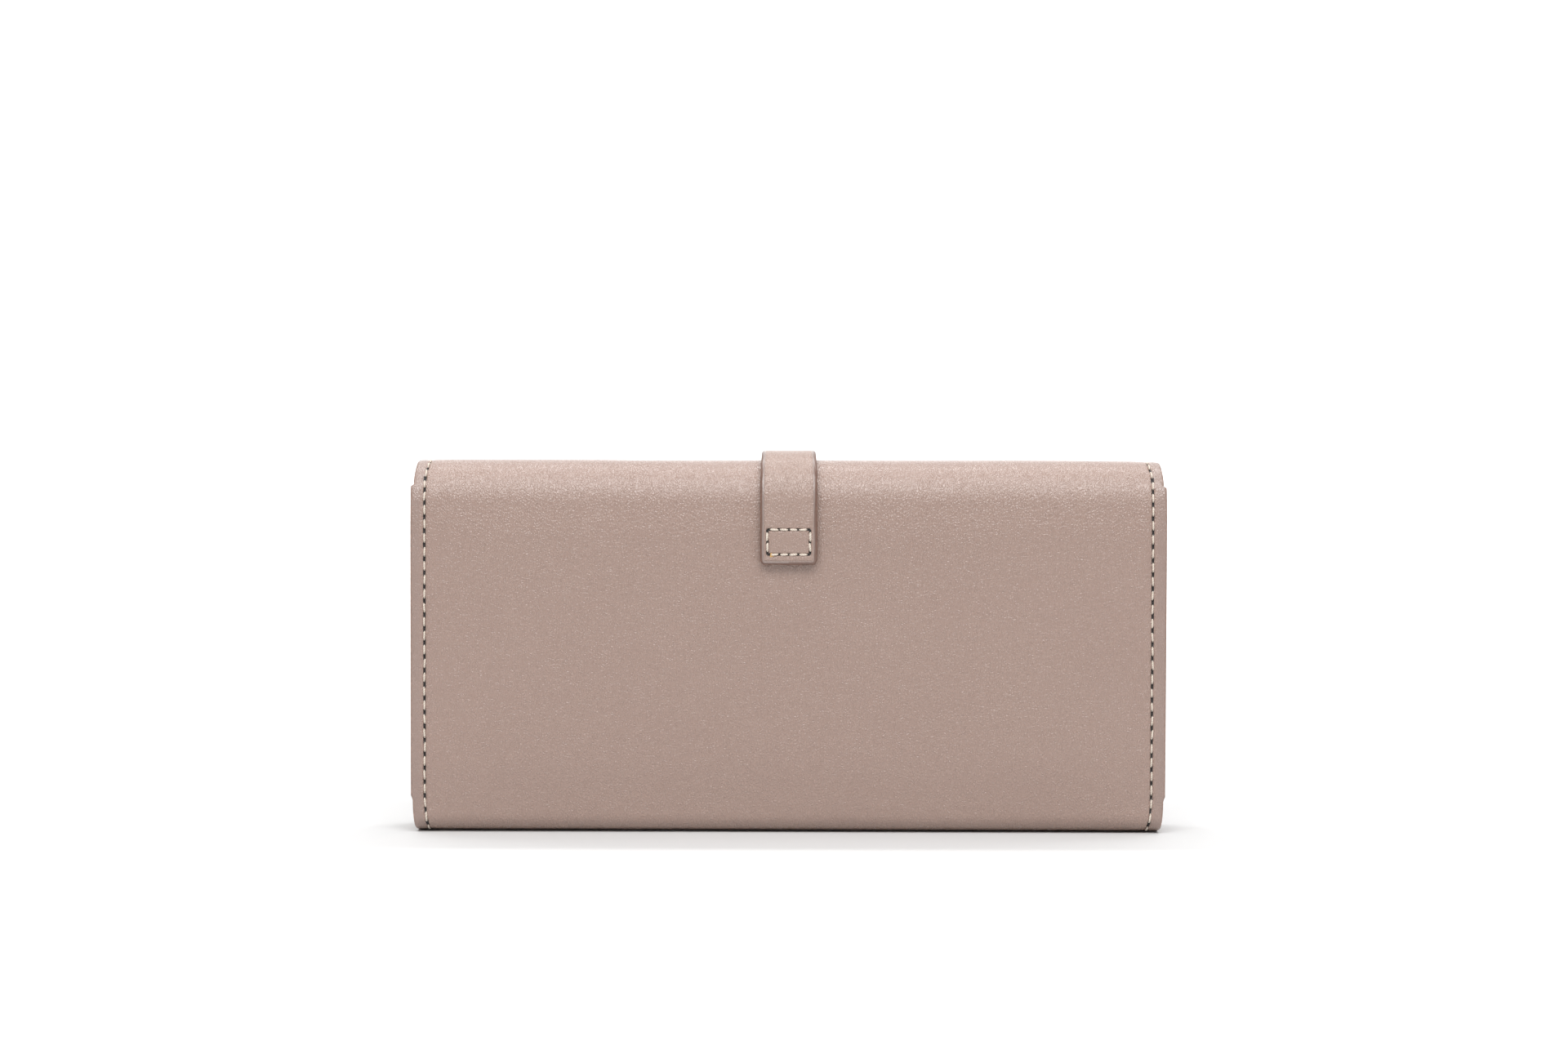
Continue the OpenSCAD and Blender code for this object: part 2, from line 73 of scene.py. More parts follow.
FLOOR_SIZE, COVE_START, COVE_RADIUS, WALL_HEIGHT = 9.0, 2.6, 0.9, 3.5
CAMERA_LENS, SENSOR_WIDTH = 100.0, 36.0
VIEW_WIDTH = 397.5 * mm
AIM_HEIGHT, AIM_SIDE = 80.2 * mm, -1.2 * mm
CAMERA_ABOVE = math.radians(3.0)
CAMERA_ROLL = math.radians(0.15)
PAPER_TONE, PAPER_ROUGHNESS = (0.66, 0.66, 0.66), 0.9
SKY_STRENGTH = 0.42

scene = bpy.context.scene
scene.view_settings.view_transform = "Standard"

cove = [(-FLOOR_SIZE / 2, 0.0), (COVE_START, 0.0)]
cove += [
    (COVE_START + COVE_RADIUS * math.sin(a), COVE_RADIUS * (1 - math.cos(a)))
    for a in np.linspace(0, math.pi / 2, 17)[1:]
]
cove += [(COVE_START + COVE_RADIUS, WALL_HEIGHT)]
floor_mesh = bpy.data.meshes.new("floor")
floor_mesh.from_pydata(
    [(x, y, z) for y, z in cove for x in (-FLOOR_SIZE / 2, FLOOR_SIZE / 2)],
    [],
    [(2 * i, 2 * i + 1, 2 * i + 3, 2 * i + 2) for i in range(len(cove) - 1)],
)
floor_mesh.polygons.foreach_set("use_smooth", [True] * len(floor_mesh.polygons))
floor = bpy.data.objects.new("floor", floor_mesh)
scene.collection.objects.link(floor)

floor_paper = bpy.data.materials.new("floor_paper")
floor_paper.use_nodes = True
paper = floor_paper.node_tree.nodes["Principled BSDF"]
paper.inputs["Base Color"].default_value = (*PAPER_TONE, 1)
paper.inputs["Roughness"].default_value = PAPER_ROUGHNESS
floor_mesh.materials.append(floor_paper)

world = bpy.data.worlds.new("studio")
world.use_nodes = True
sky = world.node_tree.nodes["Background"]
sky.inputs["Color"].default_value = (1.0, 1.0, 1.0, 1)
sky.inputs["Strength"].default_value = SKY_STRENGTH
scene.world = world


def aimed(name, data, place, target, roll=0.0):
    """An object at place that looks at target, turned by roll about its line of sight."""
    thing = bpy.data.objects.new(name, data)
    scene.collection.objects.link(thing)
    thing.location = place
    thing.rotation_euler = (Vector(target) - Vector(place)).to_track_quat("-Z", "Y").to_euler()
    thing.rotation_euler.rotate_axis("Z", roll)
    return thing


def soft_box(name, place, size, power, target):
    """A rectangular area lamp, its size in metres and its power in watts."""
    lamp = bpy.data.lights.new(name, "AREA")
    lamp.shape = "RECTANGLE"
    lamp.size, lamp.size_y = size
    lamp.energy = power
    return aimed(name, lamp, place, target)


wallet = (cad_low + cad_high) / 2
wall_foot = (0.0, FLOOR_SIZE / 2, 0.2)
soft_box("soft_box_front", place=(0.1, -1.35, 0.75), size=(1.9, 0.7), power=2.5, target=wallet)
soft_box("soft_box_key", place=(0.0, -0.83, 1.14), size=(1.8, 0.6), power=17.6, target=wallet)
soft_box("soft_box_above", place=(0.0, 0.1, 1.3), size=(1.6, 0.6), power=4.0, target=wallet)
soft_box("soft_box_backdrop", place=(0.0, 0.9, 2.4), size=(4.0, 1.0), power=200.0, target=wall_foot)

back_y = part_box("back_leather")[0].y
aim = Vector((AIM_SIDE, back_y, AIM_HEIGHT))
distance = VIEW_WIDTH * CAMERA_LENS / SENSOR_WIDTH
lens = bpy.data.cameras.new("camera")
lens.lens, lens.sensor_width = CAMERA_LENS, SENSOR_WIDTH
lens.clip_start, lens.clip_end = 0.01, 50.0
away = Vector((0.0, -math.cos(CAMERA_ABOVE), math.sin(CAMERA_ABOVE)))
scene.camera = aimed("camera", lens, aim + away * distance, aim, CAMERA_ROLL)

# ---- Outer leather ----
# One strip of smooth-grained cowhide makes the front panel, the bottom fold, the back, the top
# fold and the flap. Its side edges step in and taper where it goes round a fold, so that the
# corners stay slim, and both sides are sewn through to the lining.

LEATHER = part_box("front_leather")[1].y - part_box("front_leather")[0].y
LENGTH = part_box("back_leather")[1].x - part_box("back_leather")[0].x
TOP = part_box("top_fold_leather")[1].z
FOLD_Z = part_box("back_board")[1].z
LOW_FOLD_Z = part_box("back_board")[0].z
FRONT_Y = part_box("front_leather")[1].y
FRONT_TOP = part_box("front_leather")[1].z
FLAP_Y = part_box("flap_board")[1].y + LEATHER
FLAP_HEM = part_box("flap_leather")[0].z
TOP_RADIUS = TOP - FOLD_Z
LOW_RADIUS = LOW_FOLD_Z
STITCH, STITCH_LENGTH = 3.55 * mm, 2.3 * mm
SEAM = 3.6 * mm
NOTCH_TOP, NOTCH_LOW = 5.8 * mm, 8.8 * mm
SLANT_TOP, SLANT_LOW, SLANT_CURVE = 0.55 * mm, 0.9 * mm, 2.2
STEP_TOP, STEP_LOW, STEP_REACH = 0.7 * mm, 0.45 * mm, 0.25 * mm
SEAM_LEAN = 1.6
EDGE_ROUND, EDGE_DEPTH = 0.35 * mm, 1.2 * mm
FLAP_CORNER = 10 * mm
SWELL, SWELL_REACH = 0.35 * mm, 7 * mm
EDGE_THINNED, THINNED_REACH = 0.25 * mm, 1.3 * mm
CROWN_DIP = 0.4 * mm
BELLY, BELLY_FADE = 0.35 * mm, 1.0 * mm
LOW_FOLD_SQUARE = 1.5 * mm
RIPPLE_LONG, RIPPLE_SHORT = 0.09 * mm, 0.05 * mm
PINNED_HALF = 10 * mm
HOLE_LONG, HOLE_WIDE = (0.6 * mm, 1.15 * mm), (0.2 * mm, 0.42 * mm)
GROOVE, GROOVE_WIDE, HOLE_DEPTH = 0.16 * mm, 0.75 * mm, 0.5 * mm
HEM_GROOVE, HEM_GROOVE_WIDE = 0.2 * mm, 0.6 * mm
HIDE_PALE, HIDE_DEEP = (0.355, 0.246, 0.203), (0.338, 0.230, 0.189)
EDGE_PAINT = (0.155, 0.085, 0.062)
HIDE_BACK = (0.36, 0.27, 0.22)
# Near-black painted shade inside the needle holes
NEEDLE_HOLE_SHADE = (0.012, 0.008, 0.007)


class Route:
    """The line that a sheet follows in the YZ plane, laid out by straight runs and right-hand
    bends. Its outer side is on the left of the heading."""

    def __init__(self, y, z, heading):
        self.spot, self.heading, self.length = (y, z), math.radians(heading), 0.0
        self.runs = []

    def go(self, length, radius=None):
        bend = 0.0 if radius is None else -1.0 / radius
        self.runs.append((self.length, self.spot, self.heading, bend))
        self.length += length
        y, z, _, _ = self.at(np.array([self.length]))
        self.spot = (float(y[0]), float(z[0]))
        self.heading += bend * length
        return self.length

    def turn(self, radius, degrees=90):
        return self.go(radius * math.radians(degrees), radius)

    def at(self, s):
        """Place and outward direction (y, z, out_y, out_z) at each distance along the line."""
        s = np.asarray(s, float)
        starts = np.array([run[0] for run in self.runs])
        index = np.clip(np.searchsorted(starts, s + 1e-9) - 1, 0, len(starts) - 1)
        y0 = np.array([run[1][0] for run in self.runs])[index]
        z0 = np.array([run[1][1] for run in self.runs])[index]
        h0 = np.array([run[2] for run in self.runs])[index]
        bend = np.array([run[3] for run in self.runs])[index]
        d = s - starts[index]
        h = h0 + bend * d
        safe = np.where(bend == 0, 1.0, bend)
        y = y0 + np.where(bend == 0, d * np.cos(h0), (np.sin(h) - np.sin(h0)) / safe)
        z = z0 + np.where(bend == 0, d * np.sin(h0), (np.cos(h0) - np.cos(h)) / safe)
        return y, z, -np.sin(h), np.cos(h)


hide = Route(FRONT_Y, FRONT_TOP, -90)
hide.go(FRONT_TOP - LOW_FOLD_Z)
UNDER_FRONT = hide.turn(LOW_RADIUS)
UNDER_BACK = hide.go(FRONT_Y - back_y - 2 * LOW_RADIUS)
UNDER = (UNDER_FRONT + UNDER_BACK) / 2
BACK_LOW = hide.turn(LOW_RADIUS)
BACK_TOP = hide.go(FOLD_Z - LOW_FOLD_Z)
CROWN_BACK = hide.turn(TOP_RADIUS)
CROWN_FRONT = hide.go(FLAP_Y - back_y - 2 * TOP_RADIUS)
CROWN = (CROWN_BACK + CROWN_FRONT) / 2
FLAP_TOP = hide.turn(TOP_RADIUS)
HEM = hide.go(FOLD_Z - FLAP_HEM)


def ease(value, low, high):
    """0 below low, 1 above high, and smooth between them."""
    t = np.clip((value - low) / (high - low), 0, 1)
    return t * t * (3 - 2 * t)


def slant(s):
    """How far the side edges and their seams draw in over the folds."""
    _, z, _, _ = hide.at(s)
    top = SLANT_TOP * np.clip(1 - (TOP - z) / NOTCH_TOP, 0, 1) ** SLANT_CURVE
    return top + SLANT_LOW * np.clip(1 - z / NOTCH_LOW, 0, 1) ** SLANT_CURVE


def drawn_in(s):
    """How far the side edge lies inside the full length, with a step at the end of each fold."""
    _, z, _, _ = hide.at(s)
    step = STEP_TOP * ease(z - (TOP - NOTCH_TOP), -STEP_REACH, STEP_REACH)
    return slant(s) + step + STEP_LOW * ease(NOTCH_LOW - z, -STEP_REACH, STEP_REACH)


def half_length(s):
    """Half the leather's width at each row. The flap's lower corners are rounded."""
    half = LENGTH / 2 - drawn_in(s)
    past = np.clip((s - (HEM - FLAP_CORNER)) / FLAP_CORNER, 0, 1)
    return half - FLAP_CORNER * (1 - np.sqrt(np.maximum(1 - past * past, 0)))


def seam_x(s):
    """Where the side seam runs, which leans inwards a little at the corners."""
    return LENGTH / 2 - SEAM - SEAM_LEAN * slant(s)


def fall(x, s):
    """How far the strip stands out from its line: it swells over its boards, thins at its sides,
    dips along the middle of the top, squares up at the low folds and ripples. The strap holds it
    down in front."""
    _, _, out_y, out_z = hide.at(s)
    side = half_length(s) - np.abs(x)
    pinned = np.clip(out_y, 0, 1) * np.exp(-((x / PINNED_HALF) ** 4))
    swell = SWELL * (1 - np.exp(-np.maximum(side - SEAM, 0) / SWELL_REACH))
    swell -= EDGE_THINNED * np.exp(-side / THINNED_REACH)
    crown = np.clip(out_z, 0, 1) ** 2
    dip = -CROWN_DIP * crown * np.clip(np.cos(math.pi * x / LENGTH), 0, 1) ** 0.6
    at_back = ease(s, BACK_LOW, BACK_LOW + 12 * mm) * (1 - crown) * (s < CROWN)
    belly = at_back * (BELLY - BELLY_FADE * ease(s, BACK_TOP - 9 * mm, BACK_TOP + 6 * mm))
    aside = np.abs(out_y)
    square = LOW_FOLD_SQUARE * (2 * aside * out_z) ** 2 * aside ** 1.5 * (out_z < 0)
    ripple = RIPPLE_LONG * np.sin(x / (23 * mm) + 0.7) * np.sin(s / (17 * mm) + 1.9)
    ripple += RIPPLE_SHORT * np.sin(x / (9 * mm) + s / (14 * mm))
    free = np.clip(1 - np.clip(-out_z, 0, 1) * 1.6, 0, 1)
    uncovered = ease(s, FRONT_TOP - FLAP_HEM, FRONT_TOP - FLAP_HEM + 4 * mm)
    return square + (swell + dip + belly + ripple) * free * uncovered * (1 - pinned)


def needle_holes(x, s):
    """1 in each slit between two stitches of the side seams, and 0 a little away from it."""
    off = np.abs(np.abs(x) - seam_x(s))
    phase = np.abs(s / STITCH - np.round(s / STITCH)) * STITCH
    slit = (1 - ease(phase, *HOLE_LONG)) * (1 - ease(off, *HOLE_WIDE))
    flat_under = hide.at(s)[3] < -0.95
    return slit * (s > 3 * mm) * (s < HEM - FLAP_CORNER) * ~flat_under


def hide_work(x, s):
    """The leather outside each seam is pressed smooth and shown greyer, partly as painted sheen.
    The paint of the cut edge laps a little onto the face."""
    side = half_length(s) - np.abs(x)
    pressed = 0.35 * (1 - ease(side, SEAM - 1.5 * mm, SEAM - 0.5 * mm))
    painted = 1 - ease(side, 0.1 * mm, 0.5 * mm)
    return needle_holes(x, s), pressed, painted


def seam_groove(x, s):
    """The thread pulls the leather down in a row, and deepest at each needle hole."""
    off = np.abs(np.abs(x) - seam_x(s))
    groove = -GROOVE * np.exp(-(off / GROOVE_WIDE) ** 2) - HOLE_DEPTH * needle_holes(x, s)
    hem = np.abs(HEM - SEAM - s)
    inside = np.abs(x) < LENGTH / 2 - FLAP_CORNER
    return groove - HEM_GROOVE * np.exp(-(hem / HEM_GROOVE_WIDE) ** 2) * inside * (s > CROWN)


def solid_mesh(name, points, faces, flat, kinds=None, worked=None):
    """A smooth mesh object. flat is each point's place on the unbent material, which patterns
    follow, and worked is how far it is pierced, pressed smooth and painted."""
    mesh = bpy.data.meshes.new(name)
    mesh.from_pydata(np.asarray(points, float).tolist(), [], [list(face) for face in faces])
    for layer, values in (("flat", flat), ("worked", worked)):
        if values is not None:
            data = mesh.attributes.new(layer, "FLOAT_VECTOR", "POINT").data
            data.foreach_set("vector", np.asarray(values, np.float32).ravel())
    if kinds is not None:
        mesh.polygons.foreach_set("material_index", np.asarray(kinds, np.int32))
    mesh.polygons.foreach_set("use_smooth", [True] * len(mesh.polygons))
    work = bmesh.new()
    work.from_mesh(mesh)
    bmesh.ops.recalc_face_normals(work, faces=work.faces)
    work.to_mesh(mesh)
    work.free()
    thing = bpy.data.objects.new(name, mesh)
    scene.collection.objects.link(thing)
    return thing


def closed_sheet(name, outer, inner, flat, rim, flush=(), worked=None):
    """A closed sheet between two grids of points. Its edges are rounded out by rim, but for the
    first or the last row where that is in flush, which is cut sharp and meets another sheet."""
    rows, cols = outer.shape[:2]
    edge = [(0, j) for j in range(cols)]
    edge += [(i, cols - 1) for i in range(1, rows)]
    edge += [(rows - 1, j) for j in range(cols - 2, -1, -1)]
    edge += [(i, 0) for i in range(rows - 2, 0, -1)]
    i, j = np.array(edge).T
    away = np.zeros((len(edge), 3))
    for on, towards, which in (
        (i == 0, outer[1, j], "first"),
        (i == rows - 1, outer[rows - 2, j], "last"),
        (j == 0, outer[i, 1], "left"),
        (j == cols - 1, outer[i, cols - 2], "right"),
    ):
        if which in flush:
            continue
        step = outer[i, j] - towards
        size = np.linalg.norm(step, axis=1, keepdims=True)
        away += np.where(on[:, None], step / np.maximum(size, 1e-12), 0)
    size = np.linalg.norm(away, axis=1, keepdims=True)
    away = np.where(size > 0, away / np.maximum(size, 1e-12), 0) * rim
    through_and_out = [(0.14, 0.72), (0.5, 1.0), (0.86, 0.72)]
    rings = [outer[i, j] * (1 - a) + inner[i, j] * a + away * b for a, b in through_and_out]
    ring_flat = [flat[i, j] + [0, 0, -a * EDGE_DEPTH] for a, _ in through_and_out]
    points = np.concatenate([outer.reshape(-1, 3), inner.reshape(-1, 3), *rings])
    places = np.concatenate([flat.reshape(-1, 3), flat.reshape(-1, 3), *ring_flat])
    grid = np.arange(rows * cols).reshape(rows, cols)
    quads = np.stack([grid[:-1, :-1], grid[:-1, 1:], grid[1:, 1:], grid[1:, :-1]], -1).reshape(-1, 4)
    count, around = rows * cols, len(edge)
    loops = [grid[i, j]] + [2 * count + k * around + np.arange(around) for k in range(3)]
    loops += [grid[i, j] + count]
    bands = [
        np.stack([a, b, np.roll(b, -1), np.roll(a, -1)], -1) for a, b in zip(loops, loops[1:])
    ]
    faces = np.concatenate([quads, quads[:, ::-1] + count, *bands])
    kinds = np.repeat([0, 2, 1], [len(quads), len(quads), 4 * around])
    if worked is not None:
        worked = np.concatenate([worked.reshape(-1, 3), np.zeros((len(points) - count, 3))])
    sheet = solid_mesh(name, points, faces, places, kinds, worked)
    ends = [row for end, row in (("first", 0), ("last", rows - 1)) if end in flush]
    cut = set(grid[ends].ravel().tolist()) | set((grid[ends] + count).ravel().tolist())
    for edge in sheet.data.edges:
        edge.use_edge_sharp = cut.issuperset(edge.vertices)
    return sheet


def across(half, middle, fine=()):
    """Positions across each row: fine are distances in from both edges, and middle is how many
    even steps lie between them."""
    fine = np.asarray(fine if len(fine) else (0.0,), float)
    core = np.maximum(half - fine[-1], 0.3 * half)
    share = fine / max(fine[-1], 1e-9) if len(fine) > 1 else fine
    left = -half[:, None] + share * (half - core)[:, None]
    inner = np.linspace(-1, 1, middle + 1)[1:-1] * core[:, None]
    return np.concatenate([left, inner, -left[:, ::-1]], 1)


def strip(name, route, start, end, lift, thick, half, rows, columns, swell=None, relief=None,
          centre=0.0, rim=EDGE_ROUND, flush=(), work=None):
    """A sheet that lies lift outside a route, from start to end along it. half is half its width,
    and swell bends both its faces where relief presses only the outer one."""
    first = start + (0 if "first" in flush else rim)
    last = end - (0 if "last" in flush else rim)
    even = isinstance(rows, int)
    s = np.linspace(first, last, rows) if even else np.unique(np.clip(rows, first, last))
    width = half(s) - rim if callable(half) else np.full(len(s), half - rim)
    x = across(width, *columns)
    along = np.repeat(s[:, None], x.shape[1], 1)
    y, z, out_y, out_z = (v[:, None] for v in route.at(s))
    bulge = swell(x, along) if swell else np.zeros_like(x)
    press = relief(x, along) if relief else np.zeros_like(x)

    def face(height):
        return np.stack([x + centre, y + out_y * height, z + out_z * height], -1)

    flat = np.stack([x + centre, along, np.zeros_like(x)], -1)
    worked = np.stack(work(x, along), -1) if work else None
    return closed_sheet(
        name, face(lift + bulge + press), face(lift - thick + bulge), flat, rim, flush, worked
    )


class Wire:
    """One output of a shader node. Arithmetic on it adds Math nodes; make() adds any other."""

    def __init__(self, tree, socket=None):
        self.tree, self.socket = tree, socket

    def make(self, kind, settings, inputs, out=0):
        node = self.tree.nodes.new(kind)
        for key, value in settings.items():
            if key == "stops":
                ramp = node.color_ramp.elements
                while len(ramp) < len(value):
                    ramp.new(1.0)
                for element, (place, colour) in zip(ramp, value):
                    element.position, element.color = place, (*colour, 1)
            else:
                setattr(node, key, value)
        for key, value in inputs.items():
            if isinstance(value, Wire):
                self.tree.links.new(value.socket, node.inputs[key])
            elif value is not None:
                node.inputs[key].default_value = value
        return Wire(self.tree, node.outputs[out] if node.outputs else None)

    def maths(self, operation, *others):
        values = dict(enumerate((self, *others)))
        return self.make("ShaderNodeMath", {"operation": operation}, values)

    def turned(self, operation, first):
        return self.make("ShaderNodeMath", {"operation": operation}, {0: first, 1: self})

    def __add__(self, other):
        return self.maths("ADD", other)

    def __mul__(self, other):
        return self.maths("MULTIPLY", other)

    def __sub__(self, other):
        return self.maths("SUBTRACT", other)

    def __rsub__(self, other):
        return self.turned("SUBTRACT", other)

    def __truediv__(self, other):
        return self.maths("DIVIDE", other)

    __radd__ = __add__
    __rmul__ = __mul__

    def between(self, low, high):
        """0 below low, 1 above high, and smooth between them."""
        return self.make(
            "ShaderNodeMapRange",
            {"interpolation_type": "SMOOTHSTEP"},
            {"Value": self, "From Min": low, "From Max": high, "To Min": 0.0, "To Max": 1.0},
        )

    def mix(self, first, second):
        """Between two colours, as this mask says."""
        return self.make("ShaderNodeMix", {"data_type": "RGBA"}, {0: self, 6: first, 7: second}, 2)

    def noise(self, place, scale, detail=2.0, rough=0.5):
        inputs = {"Vector": place, "Scale": scale, "Detail": detail, "Roughness": rough}
        return self.make("ShaderNodeTexNoise", {}, inputs)

    def part(self, place, axis):
        """One axis, "X", "Y" or "Z", of a vector."""
        return self.make("ShaderNodeSeparateXYZ", {}, {0: place}, axis)


def new_finish(name, on_frame=False):
    """A material's empty node tree, and where each point lies on the unbent material. A piece of
    the frame has no such record, so it takes its own coordinates."""
    material = bpy.data.materials.new(name)
    material.use_nodes = True
    material.node_tree.nodes.clear()
    shader = Wire(material.node_tree)
    if on_frame:
        return material, shader, shader.make("ShaderNodeTexCoord", {}, {}, "Object")
    return material, shader, shader.make("ShaderNodeAttribute", {"attribute_name": "flat"}, {}, "Vector")


def finish_with(shader, colour, roughness, height=None, bump=0.3, depth=0.1 * mm, metal=0.0, **rest):
    """Closes a material with a Principled shader. height is the surface's relief, 0 to 1."""
    inputs = {"Base Color": colour, "Roughness": roughness, "Metallic": metal}
    inputs.update({key.replace("_", " "): value for key, value in rest.items()})
    if height is not None:
        inputs["Normal"] = shader.make(
            "ShaderNodeBump", {}, {"Strength": bump, "Distance": depth, "Height": height}
        )
    surface = shader.make("ShaderNodeBsdfPrincipled", {}, inputs)
    shader.make("ShaderNodeOutputMaterial", {}, {"Surface": surface})


GRAIN_DEPTH = 0.11 * mm
# CREASE_SHADE: how much darker the grain's creases are painted, as shade
# PRESSED_AND_SHEEN_TONE: tone of the pressed leather, its own smoother finish and partly a painted
# greyish sheen
PRESSED_AND_SHEEN_TONE, CREASE_SHADE = (0.76, 0.85, 0.92), 0.94


def leather(name, pale, deep, grain, bump, rough):
    """Printed pebble grain: rounded cells with fine creases between them, uneven in tone, and the
    creases painted a little darker as shade. Over it show what the worked attribute holds: the
    needle holes, painted near-black as the shade inside them, the smooth pressed leather, greyer
    partly as painted sheen, and the edge paint."""
    material, shader, place = new_finish(name)
    drawn = shader.make(
        "ShaderNodeMapping", {}, {"Vector": place, "Rotation": (0, 0, 0.6), "Scale": (1.0, 0.62, 1.0)}
    )
    wander = shader.make(
        "ShaderNodeTexNoise", {}, {"Vector": place, "Scale": 0.6 / grain, "Detail": 1.0}, "Color"
    )
    bent = shader.make(
        "ShaderNodeVectorMath", {"operation": "MULTIPLY_ADD"}, {0: wander, 1: (grain,) * 3, 2: drawn}
    )
    crease = shader.make(
        "ShaderNodeTexVoronoi", {"feature": "DISTANCE_TO_EDGE"}, {"Vector": bent, "Scale": 1 / grain}
    )
    pebble = crease.between(0.0, 0.34)
    fine = shader.noise(place, 3.2 / grain, 3.0, 0.6)
    broad = shader.noise(place, 1 / (26 * mm), 3.0, 0.55)
    patch = shader.noise(place, 1 / (3 * mm), 2.0, 0.5)
    tone = (broad * 0.7 + patch * 0.3).between(0.3, 0.7)
    body = tone.mix((*deep, 1), (*pale, 1))
    # The creases between the pebbles are painted a little darker: painted shade in the creases
    dark = tuple(CREASE_SHADE * c for c in deep)
    whole = (pebble * 0.8 + 0.2).mix((*dark, 1), body)
    worked = shader.make("ShaderNodeAttribute", {"attribute_name": "worked"}, {}, "Vector")
    hole, pressed, painted = (shader.part(worked, axis) for axis in "XYZ")
    hole, painted = hole.between(0.25, 0.75), (painted + fine * 0.3).between(0.5, 0.8)
    # Pressed leather takes a greyer tone: partly its own smoother finish, partly painted sheen
    smooth = tuple(share * c for share, c in zip(PRESSED_AND_SHEEN_TONE, deep))
    dressed_face = painted.mix(pressed.mix(whole, (*smooth, 1)), (*EDGE_PAINT, 1))
    # The needle-hole slits are painted near-black: painted shade inside the holes
    colour = hole.mix(dressed_face, (*NEEDLE_HOLE_SHADE, 1))
    height = (pebble * 0.72 + fine * 0.28) * (1 - pressed * 0.7)
    roughness = rough + patch * 0.07 - pebble * 0.05 + hole * 0.4
    finish_with(shader, colour, roughness, height, bump, GRAIN_DEPTH, Specular_IOR_Level=0.95)
    return material


def painted_edge(name, tone):
    """Edge paint over the cut leather: dark, smooth and a little uneven."""
    material, shader, place = new_finish(name)
    blot = shader.noise(place, 1 / (1.1 * mm), 3.0)
    pale = tuple(1.55 * c for c in tone)
    colour = blot.between(0.3, 0.75).mix((*tone, 1), (*pale, 1))
    finish_with(shader, colour, 0.38 + blot * 0.15, blot, 0.35, 0.12 * mm)
    return material


HIDE_GRAIN, BACK_GRAIN = 0.55 * mm, 0.3 * mm
thin_paint = tuple(0.5 * a + 0.5 * b for a, b in zip(EDGE_PAINT, HIDE_DEEP))
back_deep = tuple(0.9 * c for c in HIDE_BACK)
hide_face = leather("hide_face", HIDE_PALE, HIDE_DEEP, HIDE_GRAIN, bump=1.0, rough=0.235)
hide_edge = painted_edge("hide_edge", thin_paint)
hide_back = leather("hide_back", HIDE_BACK, back_deep, BACK_GRAIN, bump=0.3, rough=0.7)


def rows_between(start, end, extra=()):
    """Rows a sixth of a stitch apart, with closer ones where extra asks for them."""
    step = STITCH / 6
    steps = np.arange(math.ceil(start / step), math.floor(end / step) + 1) * step
    return np.unique(np.concatenate([[start], steps, [end], np.asarray(extra)]).round(7))


def dressed(piece, *materials):
    for material in materials:
        piece.data.materials.append(material)
    return piece


# Columns close together over the side seam, in millimetres in from the edge
NEAR_EDGE = (0.0, 0.5, 1.1, 1.8, 2.4, 2.8, 3.05, 3.25, 3.45, 3.65, 3.9, 4.2, 4.6, 5.2, 6.2, 8.0)
HIDE_COLUMNS = (56, tuple(d * mm for d in NEAR_EDGE))


def hide_length(name, start, end, flush, extra_rows=()):
    """One length of the strip, between two cuts across it."""
    piece = strip(
        name, hide, start, end, 0.0, LEATHER, half_length, rows_between(start, end, extra_rows),
        HIDE_COLUMNS, fall, seam_groove, flush=flush, work=hide_work,
    )
    return dressed(piece, hide_face, hide_edge, hide_back)


corner_rows = HEM - FLAP_CORNER + FLAP_CORNER * np.sin(np.linspace(0, math.pi / 2, 26))[:-1]
front_hide = hide_length("front_hide", 0.0, UNDER, ("last",))
back_hide = hide_length("back_hide", UNDER, CROWN, ("first", "last"))
flap_hide = hide_length("flap_hide", CROWN, HEM, ("first",), corner_rows)
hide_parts("front_leather")
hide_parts("back_leather", "bottom_fold_leather")
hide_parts("flap_leather", "top_fold_leather")


def bend_back(piece):
    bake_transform(piece)


def bend_front(piece):
    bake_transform(piece)


def bend_low(piece):
    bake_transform(piece)


bend_low(front_hide)
bend_back(back_hide)
bend_front(flap_hide)

# ---- Seams ----
# Waxed cream thread, one lock stitch after another down both sides and over the folds, and along
# the flap's lower edge. Each stitch dips into the needle hole that it shares with the next.

THREAD_RADIUS, THREAD_TWIST = 0.23 * mm, 0.55 * mm
THREAD_PALE, THREAD_DEEP = (0.82, 0.74, 0.65), (0.57, 0.48, 0.39)
RING, ALONG = 7, 9
PATTERN_STEP = 30 * mm


